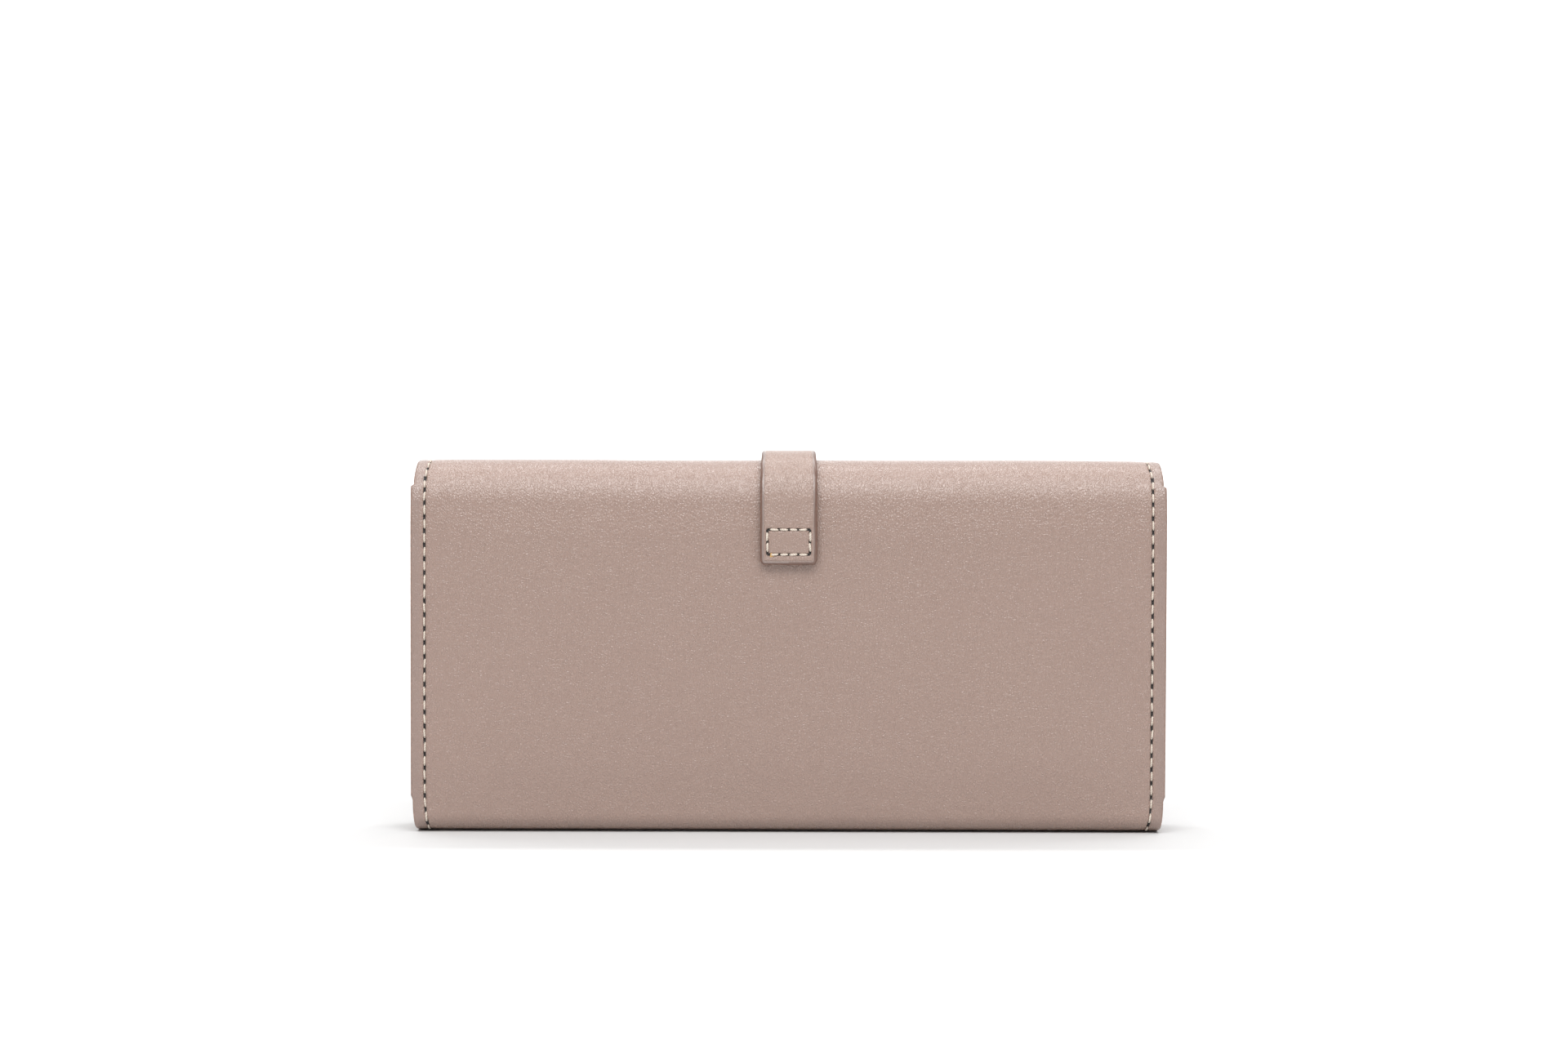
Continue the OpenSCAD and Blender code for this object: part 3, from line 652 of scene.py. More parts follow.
def stitches(name, route, places, lift, length=STITCH_LENGTH, radius=THREAD_RADIUS, seed=1,
             sink=0.3 * mm):
    """places holds each stitch's middle as (x, distance along the route, angle from the route's
    heading in radians). lift is how high the leather's face lies there, and sink is how deep the
    thread goes at each end. No two stitches show the same part of the thread's pattern."""
    wobble = np.random.default_rng(seed)
    x, s, turn = np.array(places, float).T
    count = len(x)
    turn = turn + wobble.normal(0, 0.05, count)
    x = x + wobble.normal(0, 0.05 * mm, count)
    size = length * (1 + wobble.normal(0, 0.03, count))
    tall = 0.55 * radius + wobble.normal(0, 0.04 * mm, count)
    u = np.linspace(-1, 1, ALONG)
    arch = 1 - np.abs(u) ** 4
    sx = x[:, None] + size[:, None] / 2 * u * np.sin(turn)[:, None]
    ss = s[:, None] + size[:, None] / 2 * u * np.cos(turn)[:, None]
    base = lift(sx, ss) if callable(lift) else np.full_like(sx, lift)
    high = base + tall[:, None] * arch - sink * (1 - arch)
    y, z, out_y, out_z = route.at(ss)
    spine = np.stack([sx, y + out_y * high, z + out_z * high], -1)
    out = np.stack([np.zeros_like(y), out_y, out_z], -1)
    ahead = np.gradient(spine, axis=1)
    ahead /= np.linalg.norm(ahead, axis=-1, keepdims=True)
    side = np.cross(ahead, out)
    side /= np.linalg.norm(side, axis=-1, keepdims=True)
    up = np.cross(side, ahead)
    thick = radius * (0.72 + 0.28 * arch)
    a = np.linspace(0, 2 * math.pi, RING, endpoint=False)
    ring = side[..., None, :] * np.cos(a)[:, None] + 0.8 * up[..., None, :] * np.sin(a)[:, None]
    points = spine[:, :, None] + ring * thick[None, :, None, None]
    flat = np.stack(
        np.broadcast_arrays(
            u[None, :, None] * size[:, None, None] / 2 + PATTERN_STEP * np.arange(count)[:, None, None],
            a[None, None, :] * radius,
            0.0,
        ),
        -1,
    )
    grid = np.arange(count * ALONG * RING).reshape(count, ALONG, RING)
    nxt = np.roll(grid, -1, 2)
    quads = np.stack([grid[:, :-1], nxt[:, :-1], nxt[:, 1:], grid[:, 1:]], -1).reshape(-1, 4)
    faces = quads.tolist() + grid[:, 0, ::-1].tolist() + grid[:, -1].tolist()
    mesh = bpy.data.meshes.new(name)
    mesh.from_pydata(points.reshape(-1, 3).tolist(), [], faces)
    mesh.attributes.new("flat", "FLOAT_VECTOR", "POINT").data.foreach_set(
        "vector", flat.astype(np.float32).ravel()
    )
    mesh.polygons.foreach_set("use_smooth", [True] * len(mesh.polygons))
    thing = bpy.data.objects.new(name, mesh)
    scene.collection.objects.link(thing)
    return dressed(thing, thread)


thread, shader, place = new_finish("waxed_thread")
twist = shader.part(place, "X") * (2 * math.pi / THREAD_TWIST)
twist = twist + shader.part(place, "Y") / THREAD_RADIUS * 2
strand = twist.maths("SINE") * 0.5 + 0.5
fuzz = shader.noise(place, 1 / (0.2 * mm), 3.0)
finish_with(
    shader,
    (strand * 0.7 + fuzz * 0.3).mix((*THREAD_DEEP, 1), (*THREAD_PALE, 1)),
    0.52 + fuzz * 0.2,
    strand,
    0.6,
    0.08 * mm,
)


def seam_places(start, end):
    """Every stitch of both side seams from start to end along the strip."""
    first, last = math.ceil(start / STITCH), math.floor(end / STITCH)
    middles = [(k + 0.5) * STITCH for k in range(first, last)]
    found = []
    for s in middles:
        lean = float(seam_x(np.array([s + STITCH / 2]))[0] - seam_x(np.array([s - STITCH / 2]))[0])
        x = float(seam_x(np.array([s]))[0])
        found += [(side * x, s, side * math.atan2(lean, STITCH)) for side in (-1, 1)]
    return found


THREAD_BED = 0.12 * mm


def seam_floor(x, s):
    return fall(x, s) - THREAD_BED


front_seam = stitches("front_seam", hide, seam_places(2.5 * mm, UNDER_FRONT), seam_floor, seed=3)
bend_low(front_seam)
back_seam = stitches("back_seam", hide, seam_places(UNDER_BACK, CROWN), seam_floor, seed=4)
bend_back(back_seam)
hem_half = LENGTH / 2 - FLAP_CORNER
hem_count = int(2 * hem_half / STITCH)
hem_pitch = 2 * hem_half / hem_count
STRAP_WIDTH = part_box("strap_tail")[1].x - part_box("strap_tail")[0].x
hem_places = [
    (x, HEM - SEAM, math.pi / 2)
    for x in (hem_pitch * (k + 0.5) - hem_half for k in range(hem_count))
    if abs(x) > STRAP_WIDTH / 2 + STITCH
]
turn_radius = FLAP_CORNER - SEAM
turn_count = max(2, round(turn_radius * math.pi / 2 / STITCH))
for k in range(turn_count):
    angle = (k + 0.5) / turn_count * math.pi / 2
    for side in (-1, 1):
        x = LENGTH / 2 - FLAP_CORNER + turn_radius * math.cos(angle)
        s = HEM - FLAP_CORNER + turn_radius * math.sin(angle)
        hem_places.append((side * x, s, -side * angle))
flap_seam = stitches(
    "flap_seam", hide, seam_places(CROWN, HEM - FLAP_CORNER) + hem_places, seam_floor, seed=5
)
bend_front(flap_seam)
for piece, nodes in (
    (front_seam, ("front_stitches",)),
    (back_seam, ("back_stitches",)),
    (flap_seam, ("flap_stitches", "top_fold_stitches")),
):
    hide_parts(*nodes)

# ---- Strap ----
# Two layers of the same hide, glued and edge-painted, with a crease pressed just inside each
# edge. The end is box-stitched to the back; the strap then goes over the top and down the front.

STRAP_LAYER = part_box("strap_tail")[1].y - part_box("strap_tail")[0].y
STRAP_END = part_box("strap_anchor")[0].z
STRAP_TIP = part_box("strap_tail")[0].z
STRAP_CORNER = 1.6 * mm
STRAP_START = BACK_LOW + STRAP_END - LOW_FOLD_Z
STRAP_JOIN = FLAP_TOP + 1.0 * mm
STRAP_STOP = FLAP_TOP + FOLD_Z - STRAP_TIP
CREASE_IN, CREASE_DEPTH, CREASE_WIDE = 1.0 * mm, 0.16 * mm, 0.18 * mm
BEVEL, BEVEL_CURVE = 0.4 * mm, 1.3
STRAP_WAIST, WAIST_REACH = 0.35 * mm, 9 * mm
STRAP_CUP = 0.12 * mm
BOX_GROOVE, BOX_GROOVE_WIDE, BOX_HOLE_DEPTH = 0.17 * mm, 0.45 * mm, 0.35 * mm
BOX_WIDTH, BOX_HEIGHT, BOX_IN = 10.8 * mm, 6.3 * mm, 2.7 * mm
BOX_CUT, BOX_PITCH, BOX_THREAD = 0.5 * mm, 2.7 * mm, 0.28 * mm

strap_edge = painted_edge("strap_edge", EDGE_PAINT)
strap_face = leather("strap_face", HIDE_PALE, HIDE_DEEP, HIDE_GRAIN, bump=1.0, rough=0.31)


def strap_half(s):
    """Half the strap's width, rounded at both ends and a little narrower over the top."""
    half = STRAP_WIDTH / 2 - STRAP_WAIST * np.exp(-((s - CROWN) / WAIST_REACH) ** 2)
    for end in (s - STRAP_START, STRAP_STOP - s):
        past = np.clip(1 - end / STRAP_CORNER, 0, 1)
        half = half - STRAP_CORNER * (1 - np.sqrt(np.maximum(1 - past * past, 0)))
    return half


def strap_lift(x, s):
    """The strap follows the leather it lies on, and cups a little over the top."""
    crown = np.clip(hide.at(s)[3], 0, 1)
    return fall(x, s) + STRAP_CUP * crown * (x / (STRAP_WIDTH / 2)) ** 2


BOX_MIDDLE = STRAP_START + BOX_IN + BOX_HEIGHT / 2
half_x, half_s = BOX_WIDTH / 2, BOX_HEIGHT / 2
side_ends = [
    ((-half_x + BOX_CUT, -half_s), (half_x - BOX_CUT, -half_s)),
    ((half_x, -half_s + BOX_CUT), (half_x, half_s - BOX_CUT)),
    ((half_x - BOX_CUT, half_s), (-half_x + BOX_CUT, half_s)),
    ((-half_x, half_s - BOX_CUT), (-half_x, -half_s + BOX_CUT)),
]
box_holes, box_runs = [], []
for (x0, s0), (x1, s1) in side_ends:
    count = round(math.hypot(x1 - x0, s1 - s0) / BOX_PITCH)
    shares = [k / count for k in range(count + 1)]
    line = [(x0 + (x1 - x0) * t, BOX_MIDDLE + s0 + (s1 - s0) * t) for t in shares]
    box_holes += line
    box_runs += list(zip(line, line[1:]))


def strap_edge_gap(x, s):
    """How far a point of the strap lies from the nearest edge or end."""
    return np.minimum(strap_half(s) - np.abs(x), np.minimum(s - STRAP_START, STRAP_STOP - s))


def box_pierced(x, s):
    """1 where the box's thread goes down, in a slit along its line."""
    near = np.zeros_like(x)
    for hole_x, hole_s in box_holes:
        along_x = abs(abs(hole_x) - BOX_WIDTH / 2) > 0.1 * mm
        off_x, off_s = np.abs(x - hole_x), np.abs(s - hole_s)
        along, off = (off_x, off_s) if along_x else (off_s, off_x)
        slit = (1 - ease(along, 0.35 * mm, 0.75 * mm)) * (1 - ease(off, 0.18 * mm, 0.42 * mm))
        near = np.maximum(near, slit)
    return near


def strap_marks(x, s):
    """Thinned edges with a crease inside them, and a groove under the box of stitches."""
    edge = strap_edge_gap(x, s)
    bevel = -BEVEL * np.clip(1 - edge / CREASE_IN, 0, 1) ** BEVEL_CURVE
    crease = bevel - CREASE_DEPTH * np.exp(-((edge - CREASE_IN) / CREASE_WIDE) ** 2)
    box_x, box_s = np.abs(x) - BOX_WIDTH / 2, np.abs(s - BOX_MIDDLE) - BOX_HEIGHT / 2
    off = np.abs(np.maximum(box_x, box_s))
    groove = -BOX_GROOVE * np.exp(-(off / BOX_GROOVE_WIDE) ** 2)
    return crease + groove - BOX_HOLE_DEPTH * box_pierced(x, s)


def strap_work(x, s):
    """The thinned edges are pressed smooth and shown greyer, partly as painted sheen, and their paint
    laps unevenly onto them.
    """
    edge = strap_edge_gap(x, s)
    pressed = 1 - ease(edge, CREASE_IN - 0.2 * mm, CREASE_IN + 0.15 * mm)
    lap = (0.6 + 0.1 * np.sign(x) + 0.05 * np.sin(s / (1.7 * mm))) * mm
    return box_pierced(x, s), pressed, 1 - ease(edge, lap - 0.05 * mm, lap + 0.15 * mm)


STRAP_FINE = (0.0, 0.15, 0.3, 0.45, 0.6, 0.72, 0.84, 0.94, 1.04, 1.14, 1.26, 1.5)
STRAP_COLUMNS = (62, tuple(d * mm for d in STRAP_FINE))


def strap_rows(start, end, rounds=()):
    """Even rows, closer where the box is sewn, and closer again where an end is rounded."""
    steps = [np.linspace(start, end, round((end - start) / (0.45 * mm)))]
    if start < BOX_MIDDLE < end:
        steps.append(BOX_MIDDLE + np.arange(-22, 23) * 0.19 * mm)
    arc = np.concatenate([
        STRAP_CORNER * (1 - np.cos(np.linspace(0, math.pi / 2, 9))),
        np.array(STRAP_FINE[1:-1]) * mm,
    ])
    near = [p + arc if p == start else p - arc for p in rounds]
    return np.unique(np.concatenate([*steps, *near]).round(7))


def strap_length(name, start, end, flush, ends, nodes):
    """One length of the strap: its leather over its backing, both bent the same way."""
    rows = strap_rows(start, end, ends)
    face = strip(
        name, hide, start, end, 2 * STRAP_LAYER, STRAP_LAYER, strap_half, rows, STRAP_COLUMNS,
        strap_lift, strap_marks, rim=0.3 * mm, flush=flush, work=strap_work,
    )
    backing = strip(
        name + "_backing", hide, start, end, STRAP_LAYER, STRAP_LAYER - 0.1 * mm, strap_half, rows,
        STRAP_COLUMNS, strap_lift, rim=0.38 * mm, flush=flush,
    )
    dressed(face, strap_face, strap_edge, hide_back)
    dressed(backing, hide_back, strap_edge, hide_back)
    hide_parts(*nodes)
    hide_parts(*(node + "_backing" for node in nodes))
    return face, backing


sewn_end = strap_length(
    "strap_sewn_end", STRAP_START, CROWN, ("last",), (STRAP_START,), ("strap_anchor",)
)
over_top = strap_length(
    "strap_over_top", CROWN, STRAP_JOIN, ("first", "last"), (), ("strap_crown", "strap_shoulder")
)
loose_end = strap_length(
    "strap_loose", STRAP_JOIN, STRAP_STOP, ("first",), (STRAP_STOP,), ("strap_tail",)
)
strap_outer = FLAP_Y + 2 * STRAP_LAYER
for piece in sewn_end:
    bend_back(piece)
for piece in over_top:
    bend_front(piece)
for piece in loose_end:
    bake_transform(piece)

# ---- Box stitching ----
# The sewn end is held by a box of stitches in thicker thread, whose corners are left open. Each
# stitch goes down through both layers and the leather below.

STITCH_SHARE = 0.8
box_places, box_lengths = [], []
for (x0, s0), (x1, s1) in box_runs:
    box_places.append(((x0 + x1) / 2, (s0 + s1) / 2, math.atan2(x1 - x0, s1 - s0)))
    box_lengths.append(STITCH_SHARE * math.hypot(x1 - x0, s1 - s0))


def box_floor(x, s):
    return 2 * STRAP_LAYER + strap_lift(x, s) - THREAD_BED


box_seam = stitches(
    "strap_box_stitching", hide, box_places, box_floor, length=np.array(box_lengths),
    radius=BOX_THREAD, seed=8,
)
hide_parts("strap_anchor_stitches")
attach(box_seam, "root")

# The thread's end is sealed with a drop of amber glue, which has set in an uneven dome
GLUE_RADIUS, GLUE_HEIGHT, GLUE_SUNK = 0.5 * mm, 0.22 * mm, 0.1 * mm
GLUE_ASIDE, GLUE_BELOW = 1.1 * mm, 0.2 * mm
AMBER_DEEP, AMBER_PALE = (0.50, 0.27, 0.08), (0.72, 0.45, 0.16)
glue, shader, place = new_finish("sealing_glue")
blot = shader.noise(place, 1 / (0.4 * mm), 2.0)
finish_with(shader, blot.mix((*AMBER_DEEP, 1), (*AMBER_PALE, 1)), 0.28, blot, 0.4, 0.05 * mm)
around = np.linspace(0, 2 * math.pi, 24, endpoint=False)
outline = GLUE_RADIUS * (1 + 0.28 * np.cos(3 * around + 0.5))
rise = np.linspace(0, math.pi / 2, 6)[:-1]
glue_x = np.outer(np.cos(rise), outline * np.cos(around)) - BOX_WIDTH / 2 + GLUE_ASIDE
glue_s = np.outer(np.cos(rise), outline * np.sin(around)) + BOX_MIDDLE - BOX_HEIGHT / 2 - GLUE_BELOW
glue_high = 2 * STRAP_LAYER + strap_lift(glue_x, glue_s) - GLUE_SUNK
glue_high += GLUE_HEIGHT * np.sin(rise)[:, None]
y, z, out_y, out_z = hide.at(glue_s)
dome = np.stack([glue_x, y + out_y * glue_high, z + out_z * glue_high], -1)
tip = dome[-1].mean(0) + [0, -0.02 * mm, 0]
grid = np.arange(dome[..., 0].size).reshape(dome.shape[:2])
nxt = np.roll(grid, -1, 1)
faces = np.stack([grid[:-1], nxt[:-1], nxt[1:], grid[1:]], -1).reshape(-1, 4).tolist()
faces += [[int(a), int(b), grid.size] for a, b in zip(grid[-1], nxt[-1])] + [grid[0, ::-1].tolist()]
points = np.concatenate([dome.reshape(-1, 3), tip[None]])
glue_drop = dressed(solid_mesh("thread_end_glue", points, faces, points), glue)
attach(glue_drop, "root")

# ---- Lining ----
# Twill cloth in a darker taupe, pasted to the boards and to the leather where it folds, and
# caught in the side seams. Three lengths of it meet under the bottom and on the top fold.

LINING_IN = 1.8 * mm
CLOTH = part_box("front_lining")[1].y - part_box("front_lining")[0].y
LINING_HALF = (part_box("front_lining")[1].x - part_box("front_lining")[0].x) / 2
LINING_CORNER = FLAP_CORNER - 1 * mm
LINING_HEM = HEM - 1 * mm
CLOTH_PALE, CLOTH_DEEP = (0.215, 0.155, 0.128), (0.125, 0.086, 0.070)


def twill(name, pale, deep, pitch=0.55 * mm):
    """Diagonal ribs crossed by finer yarns, with a slub here and there."""
    material, shader, place = new_finish(name)
    x, s = shader.part(place, "X"), shader.part(place, "Y")
    rib = ((x + s) * (2 * math.pi / pitch)).maths("SINE") * 0.5 + 0.5
    yarn = ((x - s * 0.35) * (2 * math.pi / (0.4 * pitch))).maths("SINE") * 0.5 + 0.5
    slub = shader.noise(place, 1 / (2.5 * mm), 3.0)
    weave = rib * 0.65 + yarn * 0.35
    tone = (weave * 0.7 + slub * 0.3).between(0.2, 0.85)
    finish_with(
        shader, tone.mix((*deep, 1), (*pale, 1)), 0.8 - slub * 0.12, weave, 0.55, 0.07 * mm,
        Sheen_Weight=0.25, Sheen_Roughness=0.5,
    )
    return material


def lining_half(s):
    past = np.clip((s - (LINING_HEM - LINING_CORNER)) / LINING_CORNER, 0, 1)
    inset = 0.6 * np.maximum(drawn_in(s) - 0.85 * mm, 0)
    return LINING_HALF - inset - LINING_CORNER * (1 - np.sqrt(np.maximum(1 - past * past, 0)))


lining_cloth = twill("lining_twill", CLOTH_PALE, CLOTH_DEEP)
lining_arc = LINING_HEM - LINING_CORNER * (1 - np.sin(np.linspace(0, math.pi / 2, 22)))[:-1]
for name, start, end, flush, nodes, bend, rests in (
    ("front_panel_lining", 1 * mm, UNDER, ("last",), ("front_lining",), bend_low, "front_board"),
    (
        "back_panel_lining", UNDER, CROWN, ("first", "last"), ("back_lining", "bottom_lining"),
        bend_back, "back_board",
    ),
    (
        "flap_inner_lining", CROWN, LINING_HEM, ("first",), ("flap_lining", "top_fold_lining"),
        bend_front, "flap_board",
    ),
):
    rows = np.unique(np.concatenate([np.linspace(start, end, 90), lining_arc[lining_arc > start]]))
    rows = rows[rows <= end]
    piece = strip(
        name, hide, start, end, -LINING_IN, CLOTH, lining_half, rows, (48, (0.0, 2 * mm)),
        rim=0.12 * mm, flush=flush,
    )
    dressed(piece, lining_cloth, lining_cloth, lining_cloth)
    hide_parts(*nodes)
    bend(piece)

# ---- Stiffening boards ----
# Grey-brown pasteboard, cut to the three flat panels and glued between leather and lining. The
# folds are left free of it, so they can bend.

BOARD_PALE, BOARD_DEEP, BOARD_SPECK = (0.46, 0.40, 0.33), (0.30, 0.25, 0.20), (0.17, 0.14, 0.12)
board, shader, place = new_finish("stiffening_board", on_frame=True)
fibre = shader.noise(
    shader.make("ShaderNodeMapping", {}, {"Vector": place, "Scale": (0.35, 1.0, 1.0)}),
    1 / (0.5 * mm), 4.0, 0.65,
)
speck = shader.noise(place, 1 / (0.9 * mm), 2.0).between(0.62, 0.72)
pulp = fibre.mix((*BOARD_DEEP, 1), (*BOARD_PALE, 1))
speckled = speck.mix(pulp, (*BOARD_SPECK, 1))
finish_with(shader, speckled, 0.85 + fibre * 0.1, fibre, 0.4, 0.1 * mm)


def refinish(node, material):
    """A piece of the frame keeps its shape and takes a new finish."""
    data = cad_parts[node].data
    data.materials.clear()
    data.materials.append(material)


for node in ("back_board", "front_board", "flap_board"):
    refinish(node, board)

# ---- Card slots ----
# Eight slots in two columns on the back's lining. Each is a leaf of the hide, skived thin, whose
# top edge is painted and creased; the leaves overlap and are sewn down along both their sides.

LEAF_CORNER = 2.5 * mm
LEAF_CREASE = 1.3 * mm
INNER_PALE, INNER_DEEP = (0.350, 0.262, 0.226), (0.320, 0.236, 0.203)
inner_leather = leather("inner_leather", INNER_PALE, INNER_DEEP, 0.5 * mm, bump=0.55, rough=0.46)
leaf_edge = painted_edge("leaf_edge", EDGE_PAINT)


LEAF_COLUMNS = (24, tuple(d * mm for d in (0.0, 0.4, 0.9, 1.3, 1.7, 2.5)))


def upright(name, node, faces_front, materials, corner=0.0, crease=None, rim=0.12 * mm, bow=0.0,
            columns=LEAF_COLUMNS):
    """A flat leaf that stands where a node of the frame does. Its outer face looks to the front
    or to the back, its top corners are rounded, and a crease runs just inside its top edge."""
    low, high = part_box(node)
    centre, half = (low.x + high.x) / 2, (high.x - low.x) / 2
    height, thick = high.z - low.z, high.y - low.y
    route = Route(high.y if faces_front else low.y, high.z if faces_front else low.z,
                  -90 if faces_front else 90)
    route.go(height)

    def down(s):
        return s if faces_front else height - s

    def half_at(s):
        past = np.clip(1 - down(s) / max(corner, 1e-6), 0, 1)
        return half - corner * (1 - np.sqrt(np.maximum(1 - past * past, 0)))

    def press(x, s):
        if crease is None:
            return np.zeros_like(x)
        return -0.3 * thick * np.exp(-((down(s) - crease) / (0.22 * mm)) ** 2)

    def shape(x, s):
        return bow * np.cos(np.clip(x / half, -1, 1) * math.pi / 2) * np.sin(math.pi * s / height)

    arc = corner * (1 - np.cos(np.linspace(0, math.pi / 2, 10)))
    near = np.concatenate([arc, np.linspace(0, 2.4 * mm, 13), np.linspace(0, height, 30)])
    rows = np.unique((near if faces_front else height - near).round(7))
    piece = strip(name, route, 0.0, height, 0.0, thick, half_at, rows, columns, shape, press,
                  centre=centre, rim=rim)
    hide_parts(node)
    return dressed(piece, *materials)


leaf = (inner_leather, leaf_edge, hide_back)
cloth_leaf = (lining_cloth, leaf_edge, lining_cloth)
backing = upright("card_backing", "card_panel", True, cloth_leaf, LEAF_CORNER)
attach(backing, "root")
for side in ("left", "right"):
    for k in range(1, 5):
        node = f"card_slot_{side}_{k}"
        piece = upright(f"{side}_card_slot_{k}", node, True, leaf, LEAF_CORNER, LEAF_CREASE)
        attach(piece, "root")

FINE_PITCH, FINE_LENGTH, FINE_RADIUS, FINE_SINK = 2.6 * mm, 0.72 * 2.6 * mm, 0.16 * mm, 0.15 * mm


def seam_line(name, route, start, end, lift, body, seed):
    """A straight run of small stitches, which rides on body. start and end are (x, distance
    along the route)."""
    (x0, s0), (x1, s1) = start, end
    count = max(1, round(math.hypot(x1 - x0, s1 - s0) / FINE_PITCH))
    turn = math.atan2(x1 - x0, s1 - s0)
    shares = [(k + 0.5) / count for k in range(count)]
    places = [(x0 + t * (x1 - x0), s0 + t * (s1 - s0), turn) for t in shares]
    thing = stitches(name, route, places, lift, FINE_LENGTH, FINE_RADIUS, seed, FINE_SINK)
    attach(thing, body)


# Each leaf's sides are sewn down from under its top edge to just above the next leaf
SLOT_SEAM_IN = 1.4 * mm
SEAM_BELOW_TOP, SEAM_ABOVE_NEXT, SEAM_ABOVE_END = 2.2 * mm, 0.6 * mm, 2 * mm
slot_low, slot_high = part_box("card_slot_left_4")
SLOT_WIDTH = slot_high.x - slot_low.x
SLOT_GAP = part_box("card_slot_right_4")[0].x - slot_high.x
tops = [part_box(f"card_slot_left_{k}")[1].z for k in range(1, 5)]
slot_face = Route(slot_high.y, tops[0], -90)
slot_face.go(tops[0] - slot_low.z)
seam_tops = [tops[0] - top + SEAM_BELOW_TOP for top in tops]
seam_ends = [tops[0] - top - SEAM_ABOVE_NEXT for top in tops[1:]]
seam_ends.append(slot_face.length - SEAM_ABOVE_END)
for side, column in ((-1, "left"), (1, "right")):
    for which, x in (
        ("inner", side * (SLOT_GAP / 2 + SLOT_SEAM_IN)),
        ("outer", side * (SLOT_WIDTH + SLOT_GAP / 2 - SLOT_SEAM_IN)),
    ):
        for k in range(4):
            seam_line(
                f"slot_seam_{column}_{which}_{k + 1}", slot_face, (x, seam_tops[k]), (x, seam_ends[k]),
                lift=-(3 - k) * CLOTH, body="root", seed=20 + k,
            )

# ---- Gussets ----
# A pleated strip of thin leather closes each side from the back to the front panel. It folds
# inwards in front of and behind the coin pocket and narrows nearly to nothing in the bottom fold.

GUSSET = 0.7 * mm
gusset_low, gusset_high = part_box("gusset_left")
GUSSET_OUT = -gusset_low.x
GUSSET_DEPTH = gusset_high.x - gusset_low.x - GUSSET
LOW_INSIDE = LOW_RADIUS - LINING_IN - CLOTH
gusset_deep = tuple(0.92 * c for c in INNER_DEEP)
gusset_leather = leather("gusset_leather", INNER_PALE, gusset_deep, 0.45 * mm, bump=0.5, rough=0.5)


def rounded_path(points, cuts=3):
    """Points with each inner corner rounded off by cutting it again and again."""
    points = np.array(points)
    for _ in range(cuts):
        cut = [points[0]]
        for a, b in zip(points, points[1:]):
            cut += [0.75 * a + 0.25 * b, 0.25 * a + 0.75 * b]
        points = np.array([*cut, points[-1]])
    return points


def gusset_piece(name, node, side):
    """One gusset, as a zigzag across at each height, which reaches into the bottom fold."""
    heights = np.concatenate([
        np.linspace(gusset_high.z, gusset_low.z, 40)[:-1],
        LOW_RADIUS - LOW_INSIDE * np.sin(np.linspace(0, 0.46 * math.pi, 10)),
    ])
    outer, inner, flat = [], [], []
    for z in heights:
        sink = max(LOW_RADIUS - z, 0)
        reach = LOW_INSIDE - math.sqrt(max(LOW_INSIDE ** 2 - sink ** 2, 0))
        y0, y4 = gusset_low.y + reach, gusset_high.y - reach
        narrow = 1 - 0.85 * (sink / LOW_INSIDE) ** 0.7
        sag = 1 + 0.05 * math.sin(z / (11 * mm)) + 0.08 * (z / gusset_high.z) ** 3
        depth = GUSSET_DEPTH * narrow
        edge = GUSSET_OUT - GUSSET / 2 - 0.35 * sink
        middle = edge - 1.2 * mm * narrow
        path = rounded_path([
            (edge, y0), (edge - depth * sag, y0 + 0.25 * (y4 - y0)), (middle, (y0 + y4) / 2),
            (edge - depth * (2 - sag), y4 - 0.25 * (y4 - y0)), (edge, y4),
        ])
        ahead = np.gradient(path, axis=0)
        ahead /= np.linalg.norm(ahead, axis=1, keepdims=True)
        normal = np.stack([ahead[:, 1], -ahead[:, 0]], 1)
        length = np.concatenate([[0], np.cumsum(np.linalg.norm(np.diff(path, axis=0), axis=1))])
        for face, shift in ((outer, GUSSET / 2), (inner, -GUSSET / 2)):
            spot = path + normal * shift
            face.append(np.stack([side * spot[:, 0], spot[:, 1], np.full(len(spot), z)], 1))
        flat.append(np.stack([length, np.full(len(path), -z), np.zeros(len(path))], 1))
    outer, inner, flat = np.array(outer), np.array(inner), np.array(flat)
    piece = closed_sheet(name, outer, inner, flat, 0.2 * mm)
    dressed(piece, gusset_leather, leaf_edge, lining_cloth)
    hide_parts(node)
    steps = np.linalg.norm(np.diff(outer, axis=1), axis=-1)
    spans = np.linalg.norm(np.diff(outer, axis=0), axis=-1)
    width, length = float(steps.sum(1).max()), float(spans.sum(0).max())
    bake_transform(piece)


gusset_piece("left_gusset", "gusset_left", -1)
gusset_piece("right_gusset", "gusset_right", 1)

# ---- Coin pocket ----
# A flat box of the same thin leather, lined with twill, that stands between the gussets. Its two
# walls are sewn to the zip's tapes along the top, and narrow strips close its sides and bottom.

